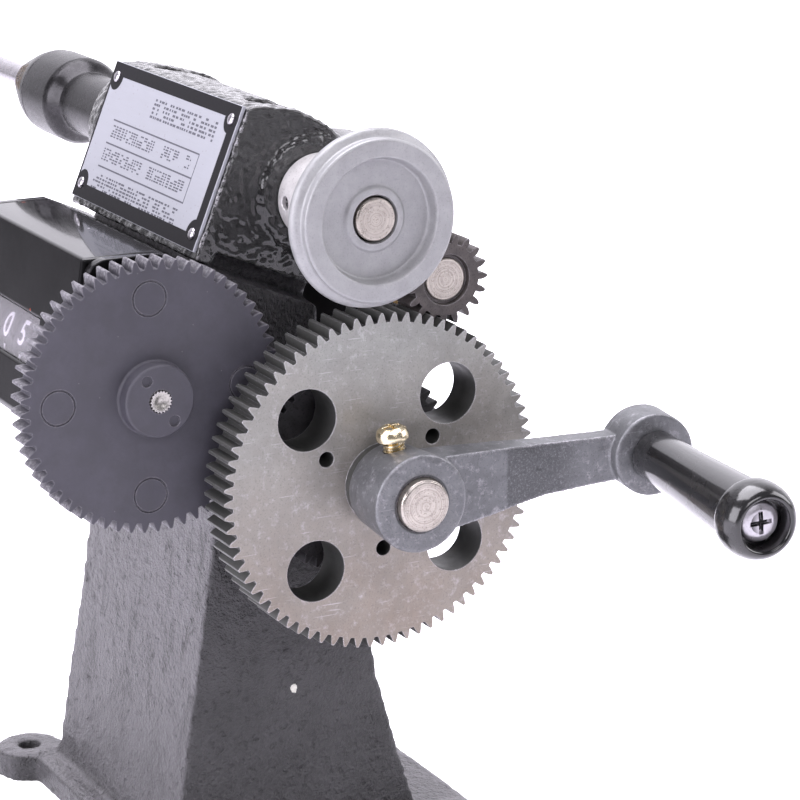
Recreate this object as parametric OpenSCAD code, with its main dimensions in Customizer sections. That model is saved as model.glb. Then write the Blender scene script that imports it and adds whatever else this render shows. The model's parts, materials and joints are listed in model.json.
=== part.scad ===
/* [Stand] */
// Height of the crank axis above the underside of the base
crank_height = 97; // [95:0.5:102]
// Thickness of the base plate
base_thickness = 6.4; // [5:0.2:9]
// Distance between the base bolt holes along the shafts
bolt_spacing_x = 88; // [86:1:94]
// Distance between the base bolt holes from front to back
bolt_spacing_y = 76; // [74:1:82]
// Diameter of the base bolt holes
bolt_hole_d = 5.5; // [4:0.5:7]
// Wall thickness of the hollow column
column_wall = 8; // [6:0.5:10]

/* [Gear train] */
// Teeth of the large gear on the crank shaft
drive_teeth = 76; // [76:1:76]
// Teeth of the pinion that it turns
idler_pinion_teeth = 19; // [19:1:19]
// Teeth of the gear inside the head
idler_gear_teeth = 40; // [40:1:40]
// Teeth of the pinion on the spindle
spindle_pinion_teeth = 20; // [20:1:20]
// Teeth of the gear that drives the counter
counter_drive_teeth = 48; // [48:1:48]
// Teeth of the counter's own gear
counter_teeth = 60; // [60:1:60]
// Tooth module, which is the pitch diameter over the number of teeth
tooth_module = 1; // [1:0.1:1]
// Play between meshing teeth
backlash = 0.16; // [0.12:0.01:0.2]
// Face width of the large gear
drive_width = 10.6; // [9:0.1:10.8]

/* [Shafts] */
// Diameter of the crank shaft
crank_shaft_d = 12; // [11:0.1:12]
// Diameter of the spindle
spindle_d = 9.6; // [9:0.1:10]
// Diameter of the idler shaft
idler_shaft_d = 9.8; // [9:0.1:10]
// Radial running clearance of the bearings
bearing_play = 0.04; // [0.02:0.01:0.08]

/* [Crank] */
// Distance from the crank axis to the handle
crank_radius = 57.9; // [57:0.1:60]
// Angle of the crank arm above level
crank_angle = 4.6; // [0:0.2:6]
// Angle by which the handle leans back towards the crank shaft
handle_lean = 6.8; // [4:0.2:7]
// Length of the handle grip
grip_length = 54; // [48:1:60]

/* [Head] */
// Tilt of the head, measured back from upright
head_tilt = 22; // [22:1:22]
// Length of the head along the spindle
head_length = 74.5; // [74:0.5:76]
// Length of the nameplate
plate_length = 72.5; // [70:0.5:73]

/* [Winding end] */
// Diameter of the winding rod
mandrel_d = 6; // [5:0.5:6]
// Length of the winding rod outside the chuck
mandrel_length = 108; // [108:1:130]

/* [Hidden] */
$fn = 64;
small = 24;
overlap = 0.01;

gear_face_x = 57;
crank_y = 11;
pressure_angle = 20;
addendum = tooth_module;
dedendum = 1.25 * tooth_module;

drive_r = drive_teeth * tooth_module / 2;
idler_pinion_r = idler_pinion_teeth * tooth_module / 2;
idler_gear_r = idler_gear_teeth * tooth_module / 2;
spindle_pinion_r = spindle_pinion_teeth * tooth_module / 2;
counter_drive_r = counter_drive_teeth * tooth_module / 2;
counter_r = counter_teeth * tooth_module / 2;

idler_angle = 68.2;
spindle_angle = 142.4;
counter_angle = 155.4;
idler_pos = polar(drive_r + idler_pinion_r, idler_angle);
spindle_pos = idler_pos + polar(idler_gear_r + spindle_pinion_r, spindle_angle);
counter_pos = polar(counter_drive_r + counter_r, counter_angle);

idler_phase = mesh_phase(idler_angle, 0, drive_teeth, idler_pinion_teeth);
spindle_phase = mesh_phase(spindle_angle, 0, idler_gear_teeth, spindle_pinion_teeth);
counter_phase = mesh_phase(counter_angle, 0, counter_drive_teeth, counter_teeth);

head_right = -21;
head_left = head_right - head_length;
stand_right = -22.5;
stand_left = -93;
base_top = base_thickness - crank_height;
lug_r = 8.6;
bolt_x = [-gear_face_x - bolt_spacing_x / 2, -gear_face_x + bolt_spacing_x / 2];
bolt_y = [-crank_y - bolt_spacing_y / 2, -crank_y + bolt_spacing_y / 2];

column_y = -31.5;
column_foot_x = [-94.9, -20.6];
column_foot_y = [-43.7, 19.9];
flare_top = -48;
seat_w = 32;
head_bottom_w = 36.3;
head_lip_w = 33.3;
head_lip_u = -47.6;
head_front_u = -51.8;
idler_uw = tilted(idler_pos);
spindle_uw = tilted(spindle_pos);

bolt_seat_w = 62;
plate_right = -22;
plate_thickness = 0.8;
gear_slot_x = [-62, -50];
guard_r = 24.5;
guard_tab = 1.6;
slot_r = idler_gear_r + addendum + 0.7;

counter_top = 52.6;
counter_gear_x = -14.2;
cap_thickness = 2.5;
window_x = [-88, -46];
window_low = -29.7;
window_height = 11.7;
wheel_width = 9.2;
wheel_r = 12.4;
counter_shaft_r = 3;
reset_shaft_r = 2;
transfer_pos = counter_pos + polar(16.6, 75);
reset_pos = [-55.5, 41];
cap_screw_pos = [[-36.6, 14], [-36.6, 41], [-62.2, 15.6]];

crank_shaft_r = crank_shaft_d / 2;
idler_shaft_r = idler_shaft_d / 2;
spindle_r = spindle_d / 2;
boss_x = 18.73;
boss_half = 4.9;
grip_bore_r = 2.56;
grip_start = boss_half + 0.3;
grip_end = grip_start + grip_length;
grip_dish = 5;
handle_screw_seat = grip_end - grip_dish + 0.3;

spindle_front = 9.3;
chuck_rear = -157;
chuck_end = -195;
mandrel_end = chuck_end - mandrel_length;
crank_end = 20.9;
inner_cone_x = -252;
outer_cone_x = -286;
groove_x = mandrel_end + 8.5;

// A point at radius r and angle a, as [y, z].
function polar(r, a) = [r * cos(a), r * sin(a)];

// A [y, z] point in the tilted axes of the head: u runs back, w runs up.
function tilted(p) = [
    p[0] * cos(head_tilt) - p[1] * sin(head_tilt),
    p[0] * sin(head_tilt) + p[1] * cos(head_tilt)];

// Turn that puts a gap of gear b over a tooth of gear a, on the line of centres.
function mesh_phase(line, phase_a, teeth_a, teeth_b) =
    line + 180 + (line - phase_a) * teeth_a / teeth_b + 180 / teeth_b;

// Involute function, in degrees.
function inv(a) = tan(a) * 180 / PI - a;

// Half of a tooth's angle at radius r.
function half_tooth(r, pitch_r) =
    (tooth_module * PI / 2 - backlash) / (2 * pitch_r) * 180 / PI
    + inv(pressure_angle)
    - inv(acos(min(1, pitch_r * cos(pressure_angle) / r)));

// Outline of a spur gear with involute flanks, a tooth lying on the first axis.
module gear_outline(teeth, flank_steps = 3) {
    pitch_r = teeth * tooth_module / 2;
    root_r = pitch_r - dedendum;
    tip_r = pitch_r + addendum;
    start_r = max(root_r, pitch_r * cos(pressure_angle));
    radii = [for (k = [0:flank_steps]) start_r + (tip_r - start_r) * k / flank_steps];
    root_half = half_tooth(start_r, pitch_r);
    polygon([for (i = [0:teeth - 1])
        let (a = i * 360 / teeth)
        each concat(
            start_r > root_r + 0.05 ? [polar(root_r, a - root_half)] : [],
            [for (r = radii) polar(r, a - half_tooth(r, pitch_r))],
            [for (k = [flank_steps:-1:0]) polar(radii[k], a + half_tooth(radii[k], pitch_r))],
            start_r > root_r + 0.05 ? [polar(root_r, a + root_half)] : [])]);
}

// Moves from the row's origin to the crank axis at the large gear's front face.
module machine() {
    translate([gear_face_x, crank_y, crank_height]) children();
}

// Stands a flat shape up in the YZ plane and extrudes it from x0 to x1.
module along_x(x0, x1) {
    translate([x0, 0, 0]) rotate([90, 0, 90]) linear_extrude(x1 - x0) children();
}

// A rod along the shafts.
module rod(r, x0, x1, pos = [0, 0]) {
    translate([x0, pos[0], pos[1]]) rotate([0, 90, 0]) cylinder(r = r, h = x1 - x0);
}

// A turned shape: the profile's points are [radius, x].
module turned(profile, pos = [0, 0]) {
    translate([0, pos[0], pos[1]]) rotate([0, 90, 0]) rotate([0, 0, 90])
        rotate_extrude() polygon(profile);
}

// A gear blank along the shafts with its teeth cut.
module spur(teeth, x0, x1, phase, pos) {
    translate([0, pos[0], pos[1]]) rotate([phase, 0, 0])
        along_x(x0, x1) gear_outline(teeth);
}

// A plain bearing bush with a thrust flange at its x1 end.
module bush(bore_r, r, x0, x1, flange, pos) {
    difference() {
        union() {
            rod(r, x0, x1, pos);
            if (flange > 0) rod(r + 2, x1 - overlap, x1 + flange, pos);
            if (flange < 0) rod(r + 2, x0 + flange, x0 + overlap, pos);
        }
        rod(bore_r + bearing_play, x0 - 5, x1 + 5, pos);
    }
}

// A pan head screw pointing down -Z, its head on the plane z = 0.
module pan_screw(thread_r, length, head_r, head_h) {
    difference() {
        union() {
            translate([0, 0, -length]) cylinder(r = thread_r, h = length + 0.1, $fn = small);
            rotate_extrude($fn = 48) polygon([[0, 0], [head_r, 0], [head_r, head_h * 0.35],
                [head_r * 0.9, head_h * 0.72], [head_r * 0.62, head_h * 0.95], [0, head_h]]);
        }
        for (a = [0, 90]) rotate([0, 0, a])
            translate([-head_r * 0.55, -head_r * 0.11, head_h * 0.45])
                cube([head_r * 1.1, head_r * 0.22, head_h]);
    }
}

// A headless set screw with a slot, its top on the plane z = 0.
module set_screw(r, length) {
    difference() {
        translate([0, 0, -length]) cylinder(r = r, h = length, $fn = small);
        translate([-r * 1.1, -r * 0.18, -r * 0.6]) cube([r * 2.2, r * 0.36, r]);
    }
}

// Lays the head's own axes (x along the spindle, u back, w up) into the machine.
module head_axes() {
    rotate([-head_tilt, 0, 0]) children();
}

// Stand

module column_side() {
    flare = [for (t = [0:0.125:1])
        [8.5 + (column_foot_y[1] - 8.5) * pow(t, 1.15), flare_top + (base_top - flare_top) * t]];
    polygon(concat(
        [[column_foot_y[0], base_top - overlap], [column_y, -15], [column_y, tilted_top(column_y)],
            [-5, tilted_top(-5)], [-5, 18]],
        [for (a = [60:-20:-40]) polar(15, a)],
        flare,
        [[column_foot_y[1], base_top - overlap]]));
}

// Height of the sloping seat at depth y.
function tilted_top(y) = (seat_w - y * sin(head_tilt)) / cos(head_tilt);

module column_front(inset = 0) {
    polygon([[column_foot_x[0] + inset, base_top - overlap], [stand_left + inset, -10],
        [stand_left + inset, 60], [stand_right - inset, 60],
        [stand_right - inset, -10], [column_foot_x[1] - inset, base_top - overlap]]);
}

module column() {
    intersection() {
        along_x(-110, 0) column_side();
        translate([0, 80, 0]) rotate([90, 0, 0]) linear_extrude(160) column_front();
    }
}

module column_hollow() {
    intersection() {
        along_x(-110, 0) polygon([[column_foot_y[0] + column_wall, -crank_height - 1],
            [column_y + column_wall, -18], [9 - column_wall, -18],
            [8.5 - column_wall, -56], [16 - column_wall, -crank_height - 1]]);
        translate([0, 80, 0]) rotate([90, 0, 0]) linear_extrude(160)
            polygon([[column_foot_x[0] + column_wall, -crank_height - 1],
                [stand_left + column_wall, -18], [stand_right - column_wall, -18],
                [column_foot_x[1] - column_wall, -crank_height - 1]]);
    }
}

module base() {
    difference() {
        union() {
            translate([-101, -50, -crank_height]) cube([88, 84, base_thickness]);
            for (x = bolt_x, y = bolt_y)
                translate([x, y, -crank_height]) {
                    cylinder(r = lug_r, h = base_thickness);
                    translate([0, 0, base_thickness - overlap])
                        cylinder(r1 = lug_r, r2 = lug_r - 1, h = 0.6);
                }
        }
        for (x = bolt_x, y = bolt_y)
            translate([x, y, -crank_height - 1])
                cylinder(d = bolt_hole_d, h = base_thickness + 4);
    }
}

module stand() color("#26262a") machine() {
    difference() {
        union() {
            base();
            difference() {
                column();
                for (x = bolt_x, y = bolt_y)
                    translate([x, y, base_top - 1]) cylinder(r = 5, h = 14);
            }
            head_axes() translate([-91, -47, seat_w - 3])
                cube([64, 27, head_bottom_w - seat_w + 3]);
        }
        column_hollow();
        rod(9, stand_left - 1, stand_right + 1);
        rod(guard_r + 0.8, gear_slot_x[0] - 3.2, gear_slot_x[1] + 3.2, idler_pos);
        at_head_bolts() translate([0, 0, seat_w - 10]) cylinder(r = 3.02, h = 20);
    }
}

// Head

module at_head_bolts() {
    head_axes() for (x = [-84, -33]) translate([x, -41.5, 0]) children();
}

// The tab of the gear guard lies on the sloping back of the head.
module guard_tab_axes() {
    head_axes() translate([0, -20.5, 66.4]) rotate([-32.15, 0, 0]) children();
}

// The two screws of the gear guard, their heads on the tab's upper face.
module at_guard_screws() {
    guard_tab_axes() for (x = [-67.2, -44.8]) translate([x, -1.9, guard_tab]) children();
}

module at_rivets() {
    head_axes() for (x = [plate_right - plate_length + 3.4, plate_right - 3.4], w = [38.6, 65.4])
        translate([x, head_front_u - plate_thickness, w]) rotate([90, 0, 0]) children();
}

module head_outline() {
    union() {
        polygon([[head_front_u, head_lip_w], [head_front_u, 68.5], [-50.3, 69.6],
            [-44, 71.4], [-38, 72.2], [-31, 71.2], [-24, 68.6], [-17, 64.2],
            [idler_uw[0] + 3, idler_uw[1] + 11], idler_uw,
            [idler_uw[0] + 5, head_bottom_w], [head_lip_u, head_bottom_w],
            [head_lip_u, head_lip_w]]);
        translate(idler_uw) circle(r = 11.5);
    }
}

module head_casting() color("#1d1d20") machine() {
    difference() {
        union() {
            head_axes() along_x(head_left, head_right) head_outline();
            turned([[0, head_right - 1], [14.4, head_right - 1], [13.2, head_right + 1.2],
                [0, head_right + 1.2]], spindle_pos);
            turned([[0, head_left + 1], [17.4, head_left + 1], [16.2, -116.5], [15, -118],
                [0, -118]], spindle_pos);
        }
        head_axes() translate([head_left - 1, head_lip_u, head_bottom_w - 30])
            cube([head_length + 2, 80, 30]);
        rod(8, head_right - 16, head_right + 3, spindle_pos);
        rod(8, -119, head_left + 8, spindle_pos);
        rod(6.2, head_left, head_right, spindle_pos);
        rod(7.5, head_right - 14, head_right + 1, idler_pos);
        rod(7.5, head_left - 1, head_left + 14, idler_pos);
        rod(6.2, head_left, head_right, idler_pos);
        rod(slot_r, gear_slot_x[0], gear_slot_x[1], idler_pos);
        rod(spindle_pinion_r + 2, gear_slot_x[0], gear_slot_x[1], spindle_pos);
        at_head_bolts() {
            translate([0, 0, head_bottom_w - 1]) cylinder(r = 3.2, h = 50);
            translate([0, 0, bolt_seat_w]) cylinder(r = 5.4, h = 20);
        }
        at_guard_screws() translate([0, 0, -7]) cylinder(r = 1.22, h = 9);
        at_rivets() translate([0, 0, -4.5]) cylinder(r = 0.82, h = 6);
    }
}

module gear_guard() color("#202024") machine() {
    difference() {
        union() {
            rod(guard_r, gear_slot_x[0] - 2.4, gear_slot_x[1] + 2.4, idler_pos);
            guard_tab_axes() translate([-70.4, -5, 0]) cube([28.8, 10, guard_tab]);
        }
        rod(slot_r, gear_slot_x[0], gear_slot_x[1], idler_pos);
        head_axes() along_x(head_left - 1, head_right + 1) head_outline();
        at_guard_screws() translate([0, 0, -7]) cylinder(r = 1.22, h = 9);
    }
}

module guard_screws() color("#b9b3a8") machine()
    at_guard_screws() pan_screw(1.2, 5, 2.4, 1.5);

module head_bolts() color("#34343a") machine() at_head_bolts() {
    difference() {
        union() {
            translate([0, 0, seat_w - 8]) cylinder(r = 3, h = bolt_seat_w + 8 - seat_w + 0.1);
            translate([0, 0, bolt_seat_w]) cylinder(r = 4.8, h = 5.2);
        }
        translate([0, 0, bolt_seat_w + 2.4]) cylinder(r = 2.9, h = 4, $fn = 6);
    }
}

module nameplate() color("#aeb0b4") machine() {
    difference() {
        head_axes() translate([plate_right - plate_length, head_front_u - plate_thickness, 35])
            cube([plate_length, plate_thickness, 34]);
        at_rivets() translate([0, 0, -3]) cylinder(r = 0.82, h = 6);
    }
}

module nameplate_rivets() color("#d4d4d8") machine() at_rivets() {
    translate([0, 0, -4]) cylinder(r = 0.8, h = 4);
    rotate_extrude($fn = 48) polygon([[0, 0], [1.4, 0], [1.3, 0.35], [0.8, 0.65], [0, 0.75]]);
}

// Counter

module counter_outline() {
    polygon(concat(
        [[column_y - 0.3, tilted_top(column_y - 0.3)], [-43.6, counter_top]],
        [for (a = [90:15:180]) [-56.1, counter_top - 4.5] + polar(4.5, a)],
        [[-66.7, 12.2], [-65.2, 9.6], [column_y - 0.3, 6]]));
}

module counter_shell_outline() {
    polygon([[column_y - 0.3, tilted_top(column_y - 0.3)], [-43.6, counter_top],
        [-60.6, counter_top], [-66.7, 12.2], [-65.2, 9.6], [column_y - 0.3, 6]]);
}

module counter_hollow_outline() {
    polygon([[column_y - 2.5, 45.5], [-44.2, counter_top - 2.2], [-58.7, counter_top - 2.2],
        [-64.6, 12.4], [-63.4, 10.9], [column_y - 2.5, 8]]);
}

// The leaning front face: y = 0 is the face, z runs up along it to the top edge.
module counter_face() {
    translate([0, -60.6, counter_top]) rotate([-8.6, 0, 0]) children();
}

module at_cap_screws() {
    for (side = [[stand_right, 1], [stand_left, -1]], p = cap_screw_pos)
        translate([side[0], p[0], p[1]]) rotate([0, 90 * side[1], 0]) children();
}

module counter_housing() color("#17171a") machine() {
    difference() {
        along_x(stand_left + cap_thickness, stand_right - cap_thickness)
            counter_shell_outline();
        along_x(stand_left, stand_right) difference() {
            counter_hollow_outline();
            for (p = cap_screw_pos) translate(p) square(6, center = true);
        }
        rod(wheel_r + 0.5, window_x[0], window_x[1], counter_pos);
        head_axes() translate([stand_left, -47.3, seat_w - 3.3]) cube([80, 27, 10]);
        counter_face() translate([window_x[0], -1, window_low])
            cube([window_x[1] - window_x[0], 6, window_height]);
        at_cap_screws() translate([0, 0, -9]) cylinder(r = 1.22, h = 12);
    }
}

module counter_cap(x0) {
    difference() {
        along_x(x0, x0 + cap_thickness) counter_outline();
        rod(counter_shaft_r + bearing_play, x0 - 1, x0 + cap_thickness + 1, counter_pos);
        rod(1.5, x0 - 1, x0 + cap_thickness + 1, transfer_pos);
        at_cap_screws() translate([0, 0, -9]) cylinder(r = 1.22, h = 12);
    }
}

module counter_cap_right() color("#141416") machine()
    counter_cap(stand_right - cap_thickness);

module counter_cap_left() color("#141416") machine() difference() {
    counter_cap(stand_left);
    rod(reset_shaft_r + bearing_play, stand_left - 1, stand_left + 6, reset_pos);
}

module cap_screws() color("#3a3a3e") machine() at_cap_screws() pan_screw(1.2, 8, 2.3, 1.4);

module counter_window() color("#dfe6ea", 0.4) machine()
    counter_face() translate([window_x[0], 0.5, window_low])
        cube([window_x[1] - window_x[0], 1, window_height]);

module transfer_shaft() color("#b8b8bc") machine()
    rod(1.48, stand_left + 0.4, stand_right - 0.4, transfer_pos);

module transfer_pinions() color("#e4e0d4") machine()
    for (k = [1:3]) difference() {
        translate([wheel_x(k) + wheel_width + 0.3 - 1.5, transfer_pos[0], transfer_pos[1]])
            rotate([0, 90, 0]) union() {
                cylinder(r = 2.6, h = 3);
                for (a = [0:60:300]) rotate([0, 0, a]) translate([0, -0.6, 0]) cube([3.6, 1.2, 3]);
            }
        rod(1.5, stand_left, stand_right, transfer_pos);
    }

module counter_shaft() color("#c9c6c2") machine() {
    rod(counter_shaft_r, stand_left - 1, stand_right + 1.2, counter_pos);
    rod(2.6, stand_right + 1.1, -9.9, counter_pos);
}

module counter_gear() color("#2e2e32") machine() {
    difference() {
        union() {
            spur(counter_teeth, -20.2, counter_gear_x, counter_phase, counter_pos);
            turned([[0, counter_gear_x - 1], [8.6, counter_gear_x - 1], [8.6, counter_gear_x],
                [8.2, counter_gear_x + 0.5], [8.2, counter_gear_x + 3.6],
                [7.8, counter_gear_x + 4], [0, counter_gear_x + 4]], counter_pos);
            rod(6, -21.2, -20.1, counter_pos);
        }
        rod(2.62, -25, 0, counter_pos);
        for (a = [1, 91, 179, 267]) along_x(counter_gear_x - 0.35, counter_gear_x + 1)
            translate(counter_pos + polar(22.3, a)) difference() {
                circle(r = 4.05);
                circle(r = 3.75);
            }
        for (a = [122, 304])
            rod(1.25, counter_gear_x + 3.4, counter_gear_x + 5, counter_pos + polar(5.75, a));
    }
}

// Left end of digit wheel k, counted from the units wheel at the right.
function wheel_x(k) = window_x[1] - 2 - wheel_width - k * (wheel_width + 0.6);

module digit_wheel(k, bore_r) {
    x0 = wheel_x(k);
    difference() {
        turned([[bore_r, x0], [5, x0], [5, x0 + 0.8], [10.8, x0 + 0.8], [10.8, x0],
            [wheel_r, x0], [wheel_r, x0 + wheel_width], [10.8, x0 + wheel_width],
            [10.8, x0 + wheel_width - 0.8], [5, x0 + wheel_width - 0.8],
            [5, x0 + wheel_width], [bore_r, x0 + wheel_width]], counter_pos);
        for (a = [0:36:324]) translate([x0 + wheel_width - 1, 0, 0])
            rod(0.9, 0, 2, counter_pos + polar(9.4, a));
    }
}

module units_wheel() color("#1b1b1d") machine() digit_wheel(0, counter_shaft_r + 0.01);
module tens_wheel() color("#1b1b1d") machine() digit_wheel(1, counter_shaft_r + 0.06);
module hundreds_wheel() color("#1b1b1d") machine() digit_wheel(2, counter_shaft_r + 0.06);
module thousands_wheel() color("#1b1b1d") machine() digit_wheel(3, counter_shaft_r + 0.06);

module reset_knob() color("#1a1a1c") machine() {
    difference() {
        union() {
            rod(reset_shaft_r, stand_left - 2, stand_left + 6, reset_pos);
            turned([[0, stand_left - 12], [5.6, stand_left - 12], [6.4, stand_left - 11],
                [6.4, stand_left - 3], [5.8, stand_left - 1.8], [0, stand_left - 1.8]],
                reset_pos);
        }
        for (a = [0:20:340]) rod(0.5, stand_left - 13, stand_left - 2.6,
            reset_pos + polar(6.6, a));
    }
}

// Crank

module crank_shaft() color("#b7b0ab") machine()
    turned([[0, -102], [crank_shaft_r - 0.6, -102], [crank_shaft_r, -101.4],
        [crank_shaft_r, crank_end - 0.5], [crank_shaft_r - 0.5, crank_end], [0, crank_end]]);

module crank_bush_right() color("#a8823f") machine()
    bush(crank_shaft_r, 9, stand_right - 18, stand_right, 1, [0, 0]);

module crank_bush_left() color("#a8823f") machine()
    bush(crank_shaft_r, 9, stand_left, stand_left + 18, -1, [0, 0]);

module drive_gear() color("#8d8b88") machine() {
    difference() {
        union() {
            spur(drive_teeth, -drive_width, 0, 0, [0, 0]);
            rod(9.2, -0.1, 2.4);
        }
        rod(crank_shaft_r + 0.01, -20, 10);
        for (a = [48, 138, 228, 318]) rod(7.1, -20, 10, polar(25, a));
        for (a = [153, 35, 271]) rod(1.8, -20, 10, polar(15.6, a));
    }
}

module counter_drive_gear() color("#2f2f33") machine() {
    difference() {
        union() {
            spur(counter_drive_teeth, -20.2, counter_gear_x, 0, [0, 0]);
            rod(11, -drive_width - 3.7, -drive_width);
        }
        rod(crank_shaft_r + 0.01, -30, 10);
    }
}

module crank_collar() color("#9a9794") machine() difference() {
    turned([[crank_shaft_r + 0.01, -101], [9.6, -101], [10, -100.6], [10, -94.8],
        [9.6, -94.4], [crank_shaft_r + 0.01, -94.4]]);
    translate([-97.7, 0, 5]) cylinder(r = 2.02, h = 8);
}

module crank_collar_screw() color("#55555a") machine()
    translate([-97.7, 0, 9.8]) set_screw(2, 3.6);

module crank_axes() {
    machine() rotate([crank_angle, 0, 0]) children();
}

// The handle's axis runs along local Z, from the middle of the outer boss.
module handle_axes() {
    crank_axes() translate([boss_x, crank_radius, 0]) rotate([0, 0, -handle_lean])
        rotate([0, 90, 0]) children();
}

// Seen from above, the arm's plan in local X and distance from the hub.
module arm_plan() {
    bend = crank_radius * 0.57;
    polygon([[7.8, 0], [16.5, 0], [16.5, 9], [16.1, bend], [boss_x + 2.6, crank_radius],
        [boss_x - 2.9, crank_radius], [10.6, bend], [7.8, 9]]);
}

module arm_side() {
    polygon([[0, -9.3], [11.5, -8.3], [crank_radius * 0.57, -6.1], [crank_radius - 2, -5],
        [crank_radius - 2, 5], [crank_radius * 0.57, 6.1], [11.5, 8.3], [0, 9.3]]);
}

module crank_arm() color("#5b6066") {
    difference() {
        union() {
            crank_axes() turned([[0, 3], [9.6, 3], [10.2, 3.6], [11.2, 18.5],
                [10.8, 19], [0, 19]]);
            crank_axes() intersection() {
                translate([0, 0, -20]) linear_extrude(40) arm_plan();
                along_x(0, 30) arm_side();
            }
            handle_axes() rotate_extrude() polygon([[0, -boss_half], [9.1, -boss_half],
                [9.6, 0.5 - boss_half], [9.6, boss_half - 0.4], [9.3, boss_half], [0, boss_half]]);
        }
        crank_axes() rod(crank_shaft_r + 0.01, 0, 30);
        handle_axes() translate([0, 0, -10]) cylinder(r = 2.51, h = 30);
        at_clamp_screw() translate([0, 0, -12]) cylinder(r = 2.51, h = 14);
    }
}

// The clamp screw stands partly unscrewed on top of the hub.
module at_clamp_screw() {
    machine() rotate([9, 0, 0]) translate([9, 0, 12.9]) children();
}

module clamp_screw() color("#c9a24a") at_clamp_screw() pan_screw(2.5, 6.8, 3.7, 3);

module handle_grip() color("#0e0e10") handle_axes() rotate_extrude() polygon([
    [grip_bore_r, grip_start], [5.5, grip_start], [5.9, grip_start + 0.4],
    [6, grip_start + 6], [6.3, grip_start + 18], [6.8, grip_start + 30],
    [7.4, grip_end - 9], [7.6, grip_end - 8.5], [8.3, grip_end - 8.1],
    [8.6, grip_end - 7.2], [8.7, grip_end - 5.4], [8.5, grip_end - 3.4],
    [8, grip_end - 1.7], [7.2, grip_end - 0.5], [6.4, grip_end], [5.9, grip_end - 0.2],
    [5.6, grip_end - 1], [5.2, grip_end - grip_dish], [grip_bore_r, grip_end - grip_dish]]);

module handle_screw() color("#c4c4c8") handle_axes()
    translate([0, 0, handle_screw_seat])
        pan_screw(2.5, handle_screw_seat + boss_half, 4.6, 2.2);

// Idler

module idler_shaft() color("#b7b0ab") machine()
    turned([[0, -95], [idler_shaft_r, -95], [idler_shaft_r, -3.4],
        [idler_shaft_r - 0.3, -3.1], [0, -3.1]], idler_pos);

module idler_pinion() color("#4c4542") machine() {
    difference() {
        union() {
            spur(idler_pinion_teeth, -13, -2.6, idler_phase, idler_pos);
            rod(7.6, -20.2, -12.9, idler_pos);
        }
        rod(idler_shaft_r + 0.01, -30, 5, idler_pos);
        turned([[0, -3.8], [5.6, -3.8], [5.8, -2.5], [0, -2.5]], idler_pos);
    }
}

module idler_gear() color("#8a8886") machine() difference() {
    union() {
        spur(idler_gear_teeth, gear_slot_x[0] + 2.4, gear_slot_x[1] - 2.4, 0, idler_pos);
        rod(8, gear_slot_x[0] + 0.5, gear_slot_x[1] - 0.5, idler_pos);
    }
    rod(idler_shaft_r + 0.01, -70, -40, idler_pos);
}

module idler_bush_right() color("#a8823f") machine()
    bush(idler_shaft_r, 7.5, head_right - 14, head_right, 0.5, idler_pos);

module idler_bush_left() color("#a8823f") machine()
    bush(idler_shaft_r, 7.5, head_left, head_left + 14, 0, idler_pos);

// Spindle

module spindle() color("#b7b0ab") machine()
    turned([[0, chuck_rear - 14], [spindle_r, chuck_rear - 14], [spindle_r, spindle_front - 0.4],
        [spindle_r - 0.4, spindle_front], [0, spindle_front]], spindle_pos);

module spindle_pinion() color("#8a8886") machine() difference() {
    spur(spindle_pinion_teeth, gear_slot_x[0] + 2.4, gear_slot_x[1] - 2.4, spindle_phase,
        spindle_pos);
    rod(spindle_r + 0.01, -70, -40, spindle_pos);
}

module spindle_bush_right() color("#a8823f") machine()
    bush(spindle_r, 8, head_right - 16, head_right + 1.2, 0, spindle_pos);

module spindle_bush_left() color("#a8823f") machine()
    bush(spindle_r, 8, -118, -102, -1, spindle_pos);

module spindle_collar() color("#c4c0bc") machine() difference() {
    turned([[spindle_r + 0.01, -19.4], [9.7, -19.4], [10, -19.1], [10, -9.2], [9.7, -8.9],
        [spindle_r + 0.01, -8.9]], spindle_pos);
    translate([-15.6, spindle_pos[0], spindle_pos[1]]) rotate([90, 0, 0])
        cylinder(r = 1.6, h = 12);
}

module spindle_collar_screw() color("#6a6a6e") machine()
    translate([-15.6, spindle_pos[0], spindle_pos[1]]) rotate([90, 0, 0])
        translate([0, 0, 9]) set_screw(1.58, 4);

module pulley() color("#8f9498") machine() difference() {
    turned([[spindle_r + 0.01, -8.6], [8.2, -8.6], [8.6, -8.2], [8.6, 2.2],
        [16.8, 4.4], [18.6, 5], [19.5, 6], [19.8, 7.2], [19.4, 8.1], [18.1, 8.8],
        [17.8, 9.3], [18, 9.8], [18.1, 11], [17.8, 11.4], [17.3, 11.6], [14.3, 11.6],
        [13.9, 11.3], [13.3, 8.6], [12.8, 8.2], [7.6, 8.1], [6.9, 8.8], [6.5, 8.9],
        [5.5, 8.9], [5.2, 8.5], [5.2, 6], [spindle_r + 0.01, 5.8]], spindle_pos);
    translate([-4, spindle_pos[0], spindle_pos[1]]) cylinder(r = 1.6, h = 12);
}

module pulley_screw() color("#6a6a6e") machine()
    translate([-4, spindle_pos[0], spindle_pos[1] + 8.2]) set_screw(1.58, 3.2);

// Winding end

module chuck_body() color("#151517") machine()
    turned([[spindle_r + 0.01, -119.4], [9.4, -119.4], [9.8, -119.9], [9.8, -127],
        [9, -128], [8.2, -130], [8.2, -154.5], [8.6, -156], [10.6, -158.4], [11.4, -160.6],
        [11.4, -175.5], [spindle_r + 0.01, -175.5]], spindle_pos);

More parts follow.
